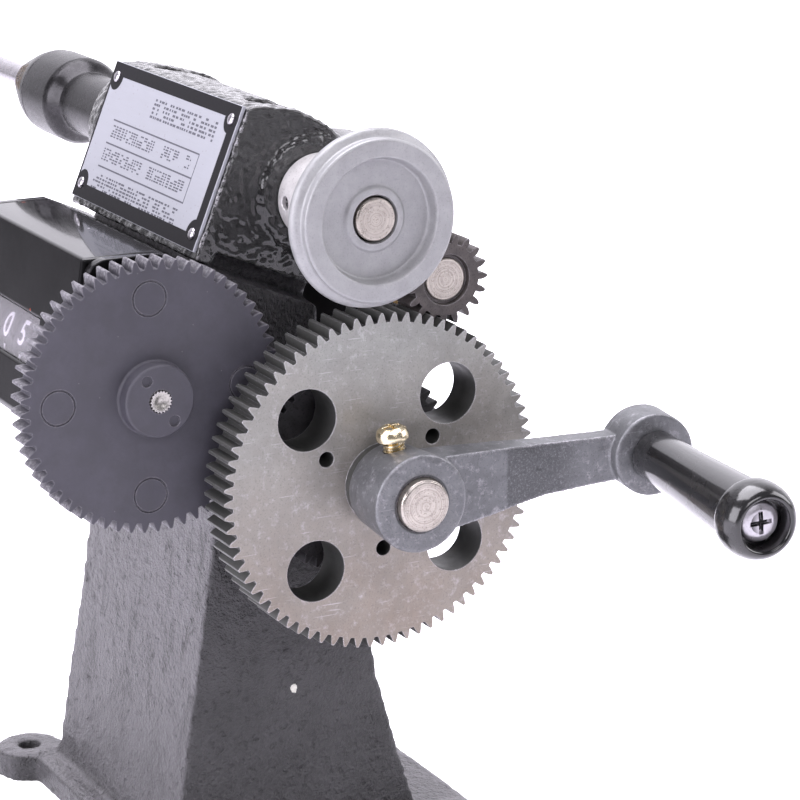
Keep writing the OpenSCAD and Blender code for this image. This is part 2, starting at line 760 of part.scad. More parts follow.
module chuck_nose() color("#1b1b1e") machine() difference() {
    turned([[0, -175.6], [11.4, -175.6], [11.2, -178], [10.2, -182], [8.6, -187],
        [7.2, -191.5], [6.4, -194], [5.8, chuck_end], [0, chuck_end]], spindle_pos);
    rod(mandrel_d / 2 + 0.01, chuck_end - 1, -182, spindle_pos);
    for (a = [0, 120, 240]) translate([0, spindle_pos[0], spindle_pos[1]])
        rotate([a, 0, 0]) translate([chuck_end - 1, 2, -0.35]) cube([12, 12, 0.7]);
}

module mandrel() color("#b4b2ae") machine()
    turned([[0, -182.3], [mandrel_d / 2, -182.3], [mandrel_d / 2, groove_x + 0.5],
        [mandrel_d / 2 - 0.4, groove_x + 0.5], [mandrel_d / 2 - 0.4, groove_x - 0.5],
        [mandrel_d / 2, groove_x - 0.5], [mandrel_d / 2, mandrel_end + 0.5],
        [mandrel_d / 2 - 0.5, mandrel_end], [0, mandrel_end]], spindle_pos);

module cone(wide_x, tip_x) {
    lip = wide_x < tip_x ? 1 : -1;
    difference() {
        turned([[0, wide_x], [9.9, wide_x], [10.4, wide_x + 0.5 * lip],
            [10.4, wide_x + 2.5 * lip], [5, tip_x], [0, tip_x]], spindle_pos);
        rod(mandrel_d / 2 + 0.05, min(wide_x, tip_x) - 1, max(wide_x, tip_x) + 1, spindle_pos);
        if (lip < 0) translate([wide_x - 1.5, spindle_pos[0], spindle_pos[1]])
            cylinder(r = 1.02, h = 14);
    }
}

module inner_cone() color("#9b8a5c") machine() cone(inner_cone_x, inner_cone_x - 12);

module inner_cone_screw() color("#6a6a6e") machine()
    translate([inner_cone_x - 1.5, spindle_pos[0], spindle_pos[1] + 9.9]) set_screw(1, 6);

module outer_cone() color("#9b8a5c") machine() cone(outer_cone_x, outer_cone_x + 12);

module mandrel_nut() color("#9d9a94") machine() difference() {
    union() {
        rod(7, outer_cone_x - 6.2, outer_cone_x - 0.05, spindle_pos);
        for (side = [-1, 1]) translate([outer_cone_x - 5.2, spindle_pos[0], spindle_pos[1]])
            rotate([side * 90, 0, 0]) translate([0, 0, 5]) cube([4, 3, 7]);
    }
    rod(mandrel_d / 2 + 0.05, outer_cone_x - 10, outer_cone_x, spindle_pos);
}

stand();
head_casting();
gear_guard();
guard_screws();
head_bolts();
nameplate();
nameplate_rivets();
counter_housing();
counter_cap_right();
counter_cap_left();
cap_screws();
counter_window();
transfer_shaft();
transfer_pinions();
counter_shaft();
counter_gear();
units_wheel();
tens_wheel();
hundreds_wheel();
thousands_wheel();
reset_knob();
crank_shaft();
crank_bush_right();
crank_bush_left();
drive_gear();
counter_drive_gear();
crank_collar();
crank_collar_screw();
crank_arm();
clamp_screw();
handle_grip();
handle_screw();
idler_shaft();
idler_pinion();
idler_gear();
idler_bush_right();
idler_bush_left();
spindle();
spindle_pinion();
spindle_bush_right();
spindle_bush_left();
spindle_collar();
spindle_collar_screw();
pulley();
pulley_screw();
chuck_body();
chuck_nose();
mandrel();
inner_cone();
inner_cone_screw();
outer_cone();
mandrel_nut();
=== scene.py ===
import json
import math
import random

import bmesh
import bpy
from mathutils import Matrix, Vector, noise


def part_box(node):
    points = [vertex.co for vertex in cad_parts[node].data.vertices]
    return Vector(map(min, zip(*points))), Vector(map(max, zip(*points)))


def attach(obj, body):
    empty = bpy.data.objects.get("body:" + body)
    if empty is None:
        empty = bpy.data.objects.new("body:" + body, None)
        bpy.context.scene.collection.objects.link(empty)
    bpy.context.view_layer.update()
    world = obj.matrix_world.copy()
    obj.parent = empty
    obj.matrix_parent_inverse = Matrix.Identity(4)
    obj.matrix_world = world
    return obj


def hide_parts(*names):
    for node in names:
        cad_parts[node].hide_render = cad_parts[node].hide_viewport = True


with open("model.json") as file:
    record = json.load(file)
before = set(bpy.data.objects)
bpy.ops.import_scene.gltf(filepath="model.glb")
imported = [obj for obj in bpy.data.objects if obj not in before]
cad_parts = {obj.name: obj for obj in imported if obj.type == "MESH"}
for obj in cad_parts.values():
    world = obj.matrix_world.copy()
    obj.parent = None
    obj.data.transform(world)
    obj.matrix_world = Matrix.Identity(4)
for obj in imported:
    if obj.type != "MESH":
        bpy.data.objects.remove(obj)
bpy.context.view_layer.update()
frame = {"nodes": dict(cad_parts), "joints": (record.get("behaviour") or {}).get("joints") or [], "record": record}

mm = 0.001
scene = bpy.context.scene
cadNodes = frame["nodes"]
slotOf = {part["node"]: part["material_slot"] for part in frame["record"]["subparts"]}
bodyOf = {
    node: body
    for body, members in frame["record"]["behaviour"]["bodies"].items()
    for node in members
}
pivot = {joint["name"]: Vector(joint["pos_m"]) for joint in frame["joints"] if "pos_m" in joint}
crankAxis = pivot["crank_turn"]
spindleAxis = pivot["spindle_turn"]
idlerAxis = pivot["idler_turn"]
counterAxis = pivot["counter_turn"]
gripAxis = Vector(next(j["axis"] for j in frame["joints"] if j["name"] == "grip_spin")).normalized()
gripCentre = pivot["grip_spin"]


view = {
    "place": (0.62446, -0.28139, 0.29314),
    "looking": (-0.85383, 0.44669, -0.26728),
    "lens": 133.74,
    "sensor": 36,
}


def makeCamera():
    data = bpy.data.cameras.new("camera")
    data.lens = view["lens"]
    data.sensor_width = view["sensor"]
    data.clip_start = 0.02
    data.clip_end = 20
    camera = bpy.data.objects.new("camera", data)
    camera.location = view["place"]
    camera.rotation_mode = "QUATERNION"
    camera.rotation_quaternion = Vector(view["looking"]).to_track_quat("-Z", "Y")
    scene.collection.objects.link(camera)
    scene.camera = camera


makeCamera()

studio = {
    "aim": (0.03, 0.0, 0.11),
    "whiteWorld": 1.08,
    "dimWorld": 0.13,
    "backGlow": 1.5,
    "floorGlow": 1.1,
    "floorBounce": 0.30,
    "tint": (1.0, 0.975, 1.06, 1),
    "toBack": (-0.85, 0.53, 0.0),
    "floorHalfWidth": 6,
    "floorColour": (0.8, 0.78, 0.84, 1),
}

# each panel: name, where it stands, width and height in metres, watts, tint
panels = [
    ("topPanel", (-0.15, -0.05, 1.05), 1.0, 0.9, 19.0, (1.0, 0.975, 1.05)),
    ("leftPanel", (0.05, -1.10, 0.45), 1.0, 0.8, 14.0, (1.0, 0.975, 1.06)),
    ("rightPanel", (0.45, 0.95, 0.60), 0.6, 0.8, 7.0, (1.0, 0.98, 1.03)),
    ("cameraPanel", (1.15, -0.15, 0.85), 0.7, 0.5, 5.6, (1.0, 0.98, 1.04)),
]


def makePanel(name, place, width, height, watts, tint):
    data = bpy.data.lights.new(name, "AREA")
    data.shape = "RECTANGLE"
    data.size = width
    data.size_y = height
    data.energy = watts
    data.color = tint
    lamp = bpy.data.objects.new(name, data)
    lamp.location = place
    lamp.rotation_mode = "QUATERNION"
    lamp.rotation_quaternion = (Vector(studio["aim"]) - Vector(place)).to_track_quat("-Z", "Y")
    scene.collection.objects.link(lamp)


for panel in panels:
    makePanel(*panel)


def addNode(tree, kind, **settings):
    node = tree.nodes.new(kind)
    for name, value in settings.items():
        setattr(node, name, value)
    return node


def feed(tree, target, value):  # a socket is linked, a number or colour is set
    if isinstance(value, bpy.types.NodeSocket):
        tree.links.new(value, target)
    else:
        target.default_value = value


def maths(tree, operation, first, second=None):
    node = addNode(tree, "ShaderNodeMath", operation=operation)
    for socket, value in zip(node.inputs, (first, second)):
        if value is not None:
            feed(tree, socket, value)
    return node.outputs[0]


def stretch(tree, value, low, high, outLow=0.0, outHigh=1.0):
    node = addNode(tree, "ShaderNodeMapRange", clamp=True)
    for name, setting in (
        ("Value", value),
        ("From Min", low),
        ("From Max", high),
        ("To Min", outLow),
        ("To Max", outHigh),
    ):
        feed(tree, node.inputs[name], setting)
    return node.outputs[0]


def mixColour(tree, amount, first, second):
    node = addNode(tree, "ShaderNodeMix", data_type="RGBA")
    feed(tree, node.inputs[0], amount)
    feed(tree, node.inputs[6], first)
    feed(tree, node.inputs[7], second)
    return node.outputs[2]


def noiseAt(tree, scale, detail=3.0, roughness=0.55, vector=None):
    node = addNode(tree, "ShaderNodeTexNoise")
    feed(tree, node.inputs["Scale"], scale)
    node.inputs["Detail"].default_value = detail
    node.inputs["Roughness"].default_value = roughness
    feed(tree, node.inputs["Vector"], vector or objectPoint(tree))
    return node.outputs["Fac"]


def objectPoint(tree):  # where the point is in the shared frame
    return addNode(tree, "ShaderNodeTexCoord").outputs["Object"]


def splitXYZ(tree, vector):
    node = addNode(tree, "ShaderNodeSeparateXYZ")
    feed(tree, node.inputs[0], vector)
    return node.outputs


def facingXYZ(tree):  # which way the surface looks
    return splitXYZ(tree, addNode(tree, "ShaderNodeNewGeometry").outputs["Normal"])


def distanceTo(tree, point, target):
    node = addNode(tree, "ShaderNodeVectorMath", operation="DISTANCE")
    feed(tree, node.inputs[0], point)
    node.inputs[1].default_value = target
    return node.outputs["Value"]


def mappedPoint(tree, scale, rotation=(0.0, 0.0, 0.0)):  # for noise that is drawn out one way
    node = addNode(tree, "ShaderNodeMapping")
    feed(tree, node.inputs["Vector"], objectPoint(tree))
    node.inputs["Rotation"].default_value = rotation
    node.inputs["Scale"].default_value = scale
    return node.outputs[0]


def newGroup(name, inputs, outputs):
    group = bpy.data.node_groups.new(name, "ShaderNodeTree")
    for label, kind, value in inputs:
        socket = group.interface.new_socket(label, in_out="INPUT", socket_type="NodeSocket" + kind)
        socket.default_value = value
    for label, kind in outputs:
        group.interface.new_socket(label, in_out="OUTPUT", socket_type="NodeSocket" + kind)
    return group, addNode(group, "NodeGroupInput").outputs, addNode(group, "NodeGroupOutput").inputs


def useGroup(tree, group, **values):
    node = addNode(tree, "ShaderNodeGroup", node_tree=group)
    for name, value in values.items():
        feed(tree, node.inputs[name], value)
    return node.outputs


def makeEdgeWear():  # where an edge is rubbed bare, broken up by noise
    group, given, result = newGroup(
        "edgeWear",
        [("Radius", "Float", 0.0004), ("Amount", "Float", 1.0), ("Scale", "Float", 900.0)],
        [("Mask", "Float")],
    )
    bevel = addNode(group, "ShaderNodeBevel", samples=4)
    feed(group, bevel.inputs["Radius"], given["Radius"])
    flat = addNode(group, "ShaderNodeNewGeometry")
    dot = addNode(group, "ShaderNodeVectorMath", operation="DOT_PRODUCT")
    feed(group, dot.inputs[0], bevel.outputs[0])
    feed(group, dot.inputs[1], flat.outputs["Normal"])
    edge = stretch(group, maths(group, "SUBTRACT", 1.0, dot.outputs["Value"]), 0.01, 0.14)
    patches = stretch(group, noiseAt(group, given["Scale"], 4.0, 0.6), 0.35, 0.62)
    share = maths(group, "ADD", maths(group, "MULTIPLY", patches, 0.8), 0.2)
    broken = maths(group, "MULTIPLY", edge, share)
    feed(group, result["Mask"], maths(group, "MULTIPLY", broken, given["Amount"]))
    return group


def makeGrain():  # fine unevenness: a height for bump and a value for colour
    group, given, result = newGroup(
        "grain",
        [("Scale", "Float", 2000.0), ("Blotches", "Float", 120.0)],
        [("Height", "Float"), ("Value", "Float")],
    )
    feed(group, result["Height"], noiseAt(group, given["Scale"], 5.0, 0.65))
    feed(group, result["Value"], stretch(group, noiseAt(group, given["Blotches"], 4.0, 0.6), 0.3, 0.7))
    return group


def makeSpeckle():  # small scattered spots
    group, given, result = newGroup(
        "speckle",
        [("Scale", "Float", 700.0), ("Share", "Float", 0.1), ("Size", "Float", 0.3)],
        [("Mask", "Float")],
    )
    cells = addNode(group, "ShaderNodeTexVoronoi")
    feed(group, cells.inputs["Vector"], objectPoint(group))
    feed(group, cells.inputs["Scale"], given["Scale"])
    inside = maths(group, "LESS_THAN", cells.outputs["Distance"], given["Size"])
    chosen = addNode(group, "ShaderNodeSeparateColor")
    feed(group, chosen.inputs[0], cells.outputs["Color"])
    picked = maths(group, "LESS_THAN", chosen.outputs[0], given["Share"])
    feed(group, result["Mask"], maths(group, "MULTIPLY", inside, picked))
    return group


def makePits():  # small dark hollows of uneven shape
    group, given, result = newGroup(
        "pits",
        [("Scale", "Float", 700.0), ("Share", "Float", 0.3)],
        [("Mask", "Float")],
    )
    cells = noiseAt(group, given["Scale"], 2.0, 0.5)
    limit = maths(group, "ADD", given["Share"], 0.05)
    feed(group, result["Mask"], stretch(group, cells, given["Share"], limit, 1.0, 0.0))
    return group


def makeDust():  # pale dust that settles on faces that look up
    group, given, result = newGroup(
        "dust",
        [("Amount", "Float", 0.3), ("Scale", "Float", 300.0)],
        [("Mask", "Float")],
    )
    upward = stretch(group, facingXYZ(group)["Z"], 0.25, 0.95)
    cloud = stretch(group, noiseAt(group, given["Scale"], 6.0, 0.7), 0.4, 0.75)
    settled = maths(group, "MULTIPLY", upward, cloud)
    feed(group, result["Mask"], maths(group, "MULTIPLY", settled, given["Amount"]))
    return group


def makeRings():  # tool marks of a lathe round an axis that runs along X
    group, given, result = newGroup(
        "rings",
        [("Axis Y", "Float", 0.0), ("Axis Z", "Float", 0.0), ("Spacing", "Float", 0.00025)],
        [("Height", "Float"), ("Distance", "Float")],
    )
    point = splitXYZ(group, objectPoint(group))
    across = maths(group, "SUBTRACT", point["Y"], given["Axis Y"])
    upward = maths(group, "SUBTRACT", point["Z"], given["Axis Z"])
    acrossSquared = maths(group, "MULTIPLY", across, across)
    upwardSquared = maths(group, "MULTIPLY", upward, upward)
    distance = maths(group, "SQRT", maths(group, "ADD", acrossSquared, upwardSquared))
    along = maths(group, "ADD", distance, point["X"])
    lines = addNode(group, "ShaderNodeTexNoise", noise_dimensions="1D")
    feed(group, lines.inputs["W"], maths(group, "DIVIDE", along, given["Spacing"]))
    lines.inputs["Scale"].default_value = 1.0
    lines.inputs["Detail"].default_value = 2.0
    feed(group, result["Height"], lines.outputs["Fac"])
    feed(group, result["Distance"], distance)
    return group


edgeWear = makeEdgeWear()
grain = makeGrain()
speckle = makeSpeckle()
pits = makePits()
dust = makeDust()
rings = makeRings()
print("stage: camera, lights and shared effects")


def ringsRound(tree, axis, **values):
    return useGroup(tree, rings, **{"Axis Y": axis.y, "Axis Z": axis.z}, **values)


def newMaterial(name, **sockets):
    material = bpy.data.materials.new(name)
    material.use_nodes = True
    tree = material.node_tree
    shader = tree.nodes["Principled BSDF"]
    for label, value in sockets.items():
        shader.inputs[label.replace("_", " ")].default_value = value
    return material, tree, shader.inputs


def bumpFrom(tree, sockets, height, strength, distance):
    node = addNode(tree, "ShaderNodeBump")
    node.inputs["Strength"].default_value = strength
    node.inputs["Distance"].default_value = distance
    feed(tree, node.inputs["Height"], height)
    feed(tree, sockets["Normal"], node.outputs[0])


def shade(value):  # a grey that leans to violet
    return (value * 1.02, value * 0.98, value * 1.05, 1)


def toned(colour, share):  # the same colour, darker or lighter
    return tuple(channel * share for channel in colour[:3]) + (1,)


def sheenFrom(tree, sockets, value, low, high):  # roughness that varies over the surface
    feed(tree, sockets["Roughness"], stretch(tree, value, 0.0, 1.0, low, high))


# the head's front edge beside the plate is chipped, in mm along the head's own axes
wrinklePaint = {
    "wrinkleScale": 1500.0,
    "wrinkleDepth": 0.0018,
    "tiltDeg": 22,
    "chippedRightMm": -21.0,
    "chippedFrontMm": -51.8,
    "chippedReachMm": 0.55,
}


def chippedEdge(tree):
    look = wrinklePaint
    centred = addNode(tree, "ShaderNodeVectorMath", operation="SUBTRACT")
    feed(tree, centred.inputs[0], objectPoint(tree))
    centred.inputs[1].default_value = crankAxis
    upright = addNode(tree, "ShaderNodeVectorRotate", rotation_type="X_AXIS")
    feed(tree, upright.inputs["Vector"], centred.outputs[0])
    upright.inputs["Angle"].default_value = math.radians(look["tiltDeg"])
    point = splitXYZ(tree, upright.outputs[0])
    fromRight = maths(tree, "SUBTRACT", point["X"], look["chippedRightMm"] * mm)
    fromFront = maths(tree, "SUBTRACT", point["Y"], look["chippedFrontMm"] * mm)
    away = maths(tree, "ADD", maths(tree, "ABSOLUTE", fromRight), maths(tree, "ABSOLUTE", fromFront))
    reach = look["chippedReachMm"] * mm
    near = stretch(tree, away, reach * 0.7, reach * 1.3, 1.0, 0.0)
    broken = stretch(tree, noiseAt(tree, 520.0, 6.0, 0.75), 0.47, 0.56)
    return maths(tree, "MULTIPLY", near, broken)


def makeWrinklePaint():
    material, tree, sockets = newMaterial("wrinklePaint", Coat_Weight=1.0, Coat_Roughness=0.08)
    fine = useGroup(tree, grain, Scale=wrinklePaint["wrinkleScale"], Blotches=600.0)
    settled = useGroup(tree, dust, Amount=0.15, Scale=1500.0)["Mask"]
    rustSpots = useGroup(tree, speckle, Scale=260.0, Share=0.03, Size=0.10)["Mask"]
    base = mixColour(tree, fine["Value"], shade(0.0015), shade(0.004))
    base = mixColour(tree, settled, base, shade(0.30))
    base = mixColour(tree, rustSpots, base, (0.16, 0.07, 0.04, 1))
    feed(tree, sockets["Base Color"], mixColour(tree, chippedEdge(tree), base, shade(0.42)))
    sheenFrom(tree, sockets, fine["Value"], 0.12, 0.26)
    bumpFrom(tree, sockets, fine["Height"], 1.0, wrinklePaint["wrinkleDepth"])
    return material


castPaint = {
    "peelScale": 900.0,
    "pitShare": 0.33,
    "bumpDepth": 0.0013,
    "dark": shade(0.022),
    "light": shade(0.044),
    # tones of the front: a painted reflection of the bright floor, far lighter than the sides
    "handledDark": shade(0.095),
    "handledLight": shade(0.135),
    # tones of faces that look up: painted sheen from the bright surroundings, with settled dust
    "topDark": shade(0.15),
    "topLight": shade(0.21),
    "chipAcross": -0.0013,
    "chipHeight": 0.0424,
    "chipRadius": 0.0009,
    "chipStretch": 0.75,
}


def paintChip(tree, facing, point):  # bare spot on the side that looks along X, taller than wide
    look = castPaint
    flat = addNode(tree, "ShaderNodeCombineXYZ")
    feed(tree, flat.inputs["X"], maths(tree, "LESS_THAN", facing["X"], 0.5))  # keeps other sides far off
    feed(tree, flat.inputs["Y"], point["Y"])
    feed(tree, flat.inputs["Z"], maths(tree, "MULTIPLY", point["Z"], look["chipStretch"]))
    middle = (0.0, look["chipAcross"], look["chipHeight"] * look["chipStretch"])
    ragged = maths(tree, "MULTIPLY", noiseAt(tree, 900.0), look["chipRadius"])
    reach = maths(tree, "ADD", distanceTo(tree, flat.outputs[0], middle), ragged)
    return maths(tree, "LESS_THAN", reach, look["chipRadius"] * 1.45)


def handledFront(tree, fine, point):  # the front is painted lighter as a painted reflection of the bright floor, with smudges that run down, and the painted reflection fades darker towards the bottom
    drawnOut = mappedPoint(tree, (190.0, 190.0, 62.0))
    smudges = stretch(tree, noiseAt(tree, 1.0, 4.0, 0.7, drawnOut), 0.36, 0.50, 1.0, 0.0)
    # painted reflection: the front's colour stands in for the bright floor it reflects
    base = mixColour(tree, fine["Value"], castPaint["handledDark"], castPaint["handledLight"])
    base = mixColour(tree, maths(tree, "MULTIPLY", smudges, 0.7), base, shade(0.03))
    # painted shade: the painted reflection fades darker towards the bottom
    return mixColour(tree, stretch(tree, point["Z"], 0.02, 0.075, 0.6, 0.0), base, shade(0.04))


def makeCastPaint():
    look = castPaint
    material, tree, sockets = newMaterial("castPaint", Coat_Weight=0.2, Coat_Roughness=0.25)
    wear = useGroup(tree, edgeWear, Radius=0.0010, Amount=0.35, Scale=500.0)["Mask"]
    fine = useGroup(tree, grain, Scale=900.0, Blotches=60.0)
    orangePeel = noiseAt(tree, look["peelScale"], 3.0, 0.6)
    hollows = useGroup(tree, pits, Scale=520.0, Share=look["pitShare"])["Mask"]
    facing = facingXYZ(tree)
    point = splitXYZ(tree, objectPoint(tree))
    front = stretch(tree, facing["Y"], -0.95, -0.6, 1.0, 0.0)
    base = mixColour(tree, fine["Value"], look["dark"], look["light"])
    # the front gets its painted reflection
    base = mixColour(tree, front, base, handledFront(tree, fine, point))
    base = mixColour(tree, maths(tree, "MULTIPLY", hollows, 0.35), base, shade(0.010))
    base = mixColour(tree, wear, base, shade(0.14))
    # faces that look up are painted lighter: painted sheen from the bright surroundings, with settled dust
    upward = stretch(tree, facing["Z"], 0.55, 0.95, 0.0, 0.85)
    base = mixColour(tree, upward, base, mixColour(tree, fine["Value"], look["topDark"], look["topLight"]))
    chip = paintChip(tree, facing, point)
    feed(tree, sockets["Base Color"], mixColour(tree, chip, base, (0.85, 0.83, 0.76, 1)))
    sheenFrom(tree, sockets, fine["Value"], 0.34, 0.5)
    height = maths(tree, "ADD", maths(tree, "MULTIPLY", fine["Height"], 0.5), orangePeel)
    height = maths(tree, "SUBTRACT", height, maths(tree, "MULTIPLY", hollows, 0.7))
    bumpFrom(tree, sockets, height, 0.9, look["bumpDepth"])
    return material


def makeGlossPaint(name, roughness, specks):
    material, tree, sockets = newMaterial(name, Specular_IOR_Level=0.03, Coat_Roughness=0.06)
    wear = useGroup(tree, edgeWear, Radius=0.0005, Amount=0.6, Scale=600.0)["Mask"]
    fine = useGroup(tree, grain, Scale=350.0, Blotches=70.0)
    settled = useGroup(tree, dust, Amount=0.05, Scale=400.0)["Mask"]
    base = mixColour(tree, fine["Value"], shade(0.005), shade(0.009))
    base = mixColour(tree, settled, base, shade(0.25))
    if specks:  # a few crumbs of pale and rusty dirt
        crumbs = useGroup(tree, speckle, Scale=330.0, Share=0.035, Size=0.12)["Mask"]
        rust = useGroup(tree, speckle, Scale=190.0, Share=0.03, Size=0.09)["Mask"]
        base = mixColour(tree, crumbs, base, shade(0.45))
        base = mixColour(tree, rust, base, (0.25, 0.05, 0.03, 1))
    feed(tree, sockets["Base Color"], mixColour(tree, wear, base, shade(0.30)))
    upward = stretch(tree, facingXYZ(tree)["Z"], 0.3, 0.8, 0.0, 0.75)
    feed(tree, sockets["Coat Weight"], upward)  # only the top is still glossy
    sheenFrom(tree, sockets, fine["Value"], roughness * 0.75, roughness * 1.3)
    bumpFrom(tree, sockets, fine["Height"], 0.05, 0.0005)
    return material


steelLook = {
    "roughness": 0.3,
    "metal": 1.0,
    "bump": 0.2,
    "speckles": 0.5,
    "wear": 0.8,
    "wearRadius": 0.0003,
    "scratches": 0.0,
    "clouds": 0.0,  # how strong the stains and worn places are
    "flanks": 1.0,  # painted shade: how dark the faces are that don't look along X
    "below": None,  # another colour towards the bottom of the piece
    "axis": None,  # a lathe's marks run round this axis
    "band": None,  # where the arm's scuffed stretch starts and ends, from the crank's axis
    "crevice": None,  # inner and outer radius of painted shade in the gap round the crank shaft
    "recess": None,  # level, middle and radius of painted shade in a driver's recess
}


def rustBelow(tree, base, colour):
    cloud = maths(tree, "MULTIPLY", noiseAt(tree, 40.0, 3.0, 0.6), 0.05)
    level = maths(tree, "ADD", splitXYZ(tree, objectPoint(tree))["Z"], cloud)
    lower = stretch(tree, level, crankAxis.z - 0.012, crankAxis.z + 0.062, 1.0, 0.0)
    lowest = stretch(tree, level, crankAxis.z - 0.034, crankAxis.z + 0.02, 1.0, 0.0)
    patches = stretch(tree, noiseAt(tree, 48.0, 7.0, 0.7), 0.44, 0.60, 0.0, 0.6)
    return mixColour(tree, lower, base, colour), maths(tree, "MULTIPLY", patches, lowest)


def addStains(tree, base, strength, dark, worn):
    stains = stretch(tree, noiseAt(tree, 55.0, 8.0, 0.72), 0.40, 0.62, strength, 0.0)
    base = mixColour(tree, stains, base, toned(dark, 0.5))
    scuffs = stretch(tree, noiseAt(tree, 420.0, 7.0, 0.8), 0.53, 0.70, 0.0, strength)
    return mixColour(tree, scuffs, base, worn)


def addHairlines(tree, base, strength, worn, faceOn):  # three sets, each at its own slant
    for turn in (0.5, -0.9, 1.3):
        slant = mappedPoint(tree, (200.0, 110.0, 2600.0), (turn, 0.0, 0.0))
        hair = stretch(tree, noiseAt(tree, 1.0, 1.0, 0.4, slant), 0.75, 0.82, 0.0, strength)
        base = mixColour(tree, maths(tree, "MULTIPLY", hair, faceOn), base, worn)
    return base


# painted shade in the gap round the crank shaft
def addCrevice(tree, base, radii, dark, faceOn):
    inner, outer = radii
    away = ringsRound(tree, crankAxis)["Distance"]
    past = stretch(tree, away, inner, inner + 0.0001)
    within = stretch(tree, away, outer, outer + 0.0003, 1.0, 0.0)
    gap = maths(tree, "MULTIPLY", past, within)
    return mixColour(tree, maths(tree, "MULTIPLY", gap, faceOn), base, toned(dark, 0.35))


# painted shade in a driver's recess, below its level and within its radius
def addRecess(tree, base, level, middle, radius):
    point = objectPoint(tree)
    beneath = stretch(tree, splitXYZ(tree, point)["X"], level - 0.0003, level, 1.0, 0.0)
    inside = maths(tree, "LESS_THAN", distanceTo(tree, point, middle), radius)
    return mixColour(tree, maths(tree, "MULTIPLY", beneath, inside), base, shade(0.02))


def addBand(tree, base, ends, dark, light, facing):  # darker and scuffed, with a crisp first edge
    first, last = ends
    wander = maths(tree, "SUBTRACT", noiseAt(tree, 260.0, 4.0, 0.7), 0.5)
    along = maths(tree, "SUBTRACT", splitXYZ(tree, objectPoint(tree))["Y"], crankAxis.y)
    along = maths(tree, "ADD", along, maths(tree, "MULTIPLY", wander, 0.0015))
    started = stretch(tree, along, first, first + 0.0008)
    ending = stretch(tree, along, last, last + 0.006, 1.0, 0.0)
    front = stretch(tree, facing["X"], 0.6, 0.85)
    band = maths(tree, "MULTIPLY", maths(tree, "MULTIPLY", started, ending), front)
    scuffs = stretch(tree, noiseAt(tree, 1900.0, 6.0, 0.85), 0.50, 0.76)
    scuffed = mixColour(tree, scuffs, toned(dark, 0.45), toned(light, 1.5))
    return mixColour(tree, maths(tree, "MULTIPLY", band, 0.85), base, scuffed)


def makeSteel(name, dark, light, worn, **changes):
    look = {**steelLook, **changes}
    material, tree, sockets = newMaterial(name, Metallic=look["metal"])
    rubbed = useGroup(tree, edgeWear, Radius=look["wearRadius"], Amount=look["wear"], Scale=1200.0)["Mask"]
    fine = useGroup(tree, grain, Scale=2600.0, Blotches=300.0)
    spots = useGroup(tree, pits, Scale=2300.0, Share=0.36)["Mask"]
    facing = facingXYZ(tree)
    faceOn = stretch(tree, maths(tree, "ABSOLUTE", facing["X"]), 0.5, 0.85)
    base = mixColour(tree, fine["Value"], dark, light)
    if look["below"]:
        base, rust = rustBelow(tree, base, look["below"])
    base = mixColour(tree, maths(tree, "MULTIPLY", spots, look["speckles"]), base, toned(dark, 0.35))
    if look["below"]:
        base = mixColour(tree, rust, base, (0.20, 0.145, 0.105, 1))
    if look["clouds"]:
        base = addStains(tree, base, look["clouds"], dark, worn)
    if look["scratches"]:
        base = addHairlines(tree, base, look["scratches"], worn, faceOn)
    # painted shade: faces that don't look along X, such as the teeth's flanks, are darker
    if look["flanks"] < 1.0:
        base = mixColour(tree, faceOn, toned(dark, look["flanks"]), base)
    # painted shade in the gap round the crank shaft
    if look["crevice"]:
        base = addCrevice(tree, base, look["crevice"], dark, faceOn)
    # painted shade in the driver's recess
    if look["recess"]:
        base = addRecess(tree, base, *look["recess"])
    if look["band"]:
        base = addBand(tree, base, look["band"], dark, light, facing)
    height = fine["Height"]
    if look["axis"]:
        turned = ringsRound(tree, look["axis"], Spacing=0.00035)["Height"]
        height = maths(tree, "ADD", maths(tree, "MULTIPLY", height, 0.35), turned)
        grooves = stretch(tree, turned, 0.38, 0.6, 0.65, 1.0)
        base = mixColour(tree, grooves, toned(dark, 0.4), base)
    feed(tree, sockets["Base Color"], mixColour(tree, rubbed, base, worn))
    sheenFrom(tree, sockets, fine["Value"], look["roughness"] * 0.8, look["roughness"] * 1.25)
    bumpFrom(tree, sockets, height, look["bump"], 0.00012)
    return material


def rubbedTeeth(tree, rootRadius):  # only the faces of the teeth, not the gear's own sides
    reach = ringsRound(tree, counterAxis)["Distance"]
    sideways = stretch(tree, maths(tree, "ABSOLUTE", facingXYZ(tree)["X"]), 0.5, 0.85, 1.0, 0.0)
    tips = maths(tree, "MULTIPLY", stretch(tree, reach, rootRadius, rootRadius + 0.0012), sideways)
    patchy = stretch(tree, noiseAt(tree, 1100.0, 5.0, 0.75), 0.44, 0.62, 0.1, 1.0)
    return maths(tree, "MULTIPLY", tips, patchy)


def makePlastic(name, colour, worn, roughness, rootRadius=None):
    material, tree, sockets = newMaterial(name)
    wear = useGroup(tree, edgeWear, Radius=0.00035, Amount=0.8, Scale=1500.0)["Mask"]
    fine = useGroup(tree, grain, Scale=1700.0, Blotches=160.0)
    settled = useGroup(tree, dust, Amount=0.12, Scale=700.0)["Mask"]
    lint = useGroup(tree, speckle, Scale=700.0, Share=0.012, Size=0.10)["Mask"]
    clouds = stretch(tree, noiseAt(tree, 90.0, 8.0, 0.75), 0.45, 0.70, 0.0, 0.5)
    base = mixColour(tree, fine["Value"], colour, toned(colour, 1.35))
    base = mixColour(tree, clouds, base, toned(colour, 1.8))
    base = mixColour(tree, settled, base, worn)
    base = mixColour(tree, lint, base, shade(0.12))
    if rootRadius:
        base = mixColour(tree, rubbedTeeth(tree, rootRadius), base, shade(0.24))
    feed(tree, sockets["Base Color"], mixColour(tree, wear, base, worn))
    sheenFrom(tree, sockets, fine["Value"], roughness * 0.85, roughness * 1.15)
    bumpFrom(tree, sockets, fine["Height"], 0.12, 0.0002)
    return material


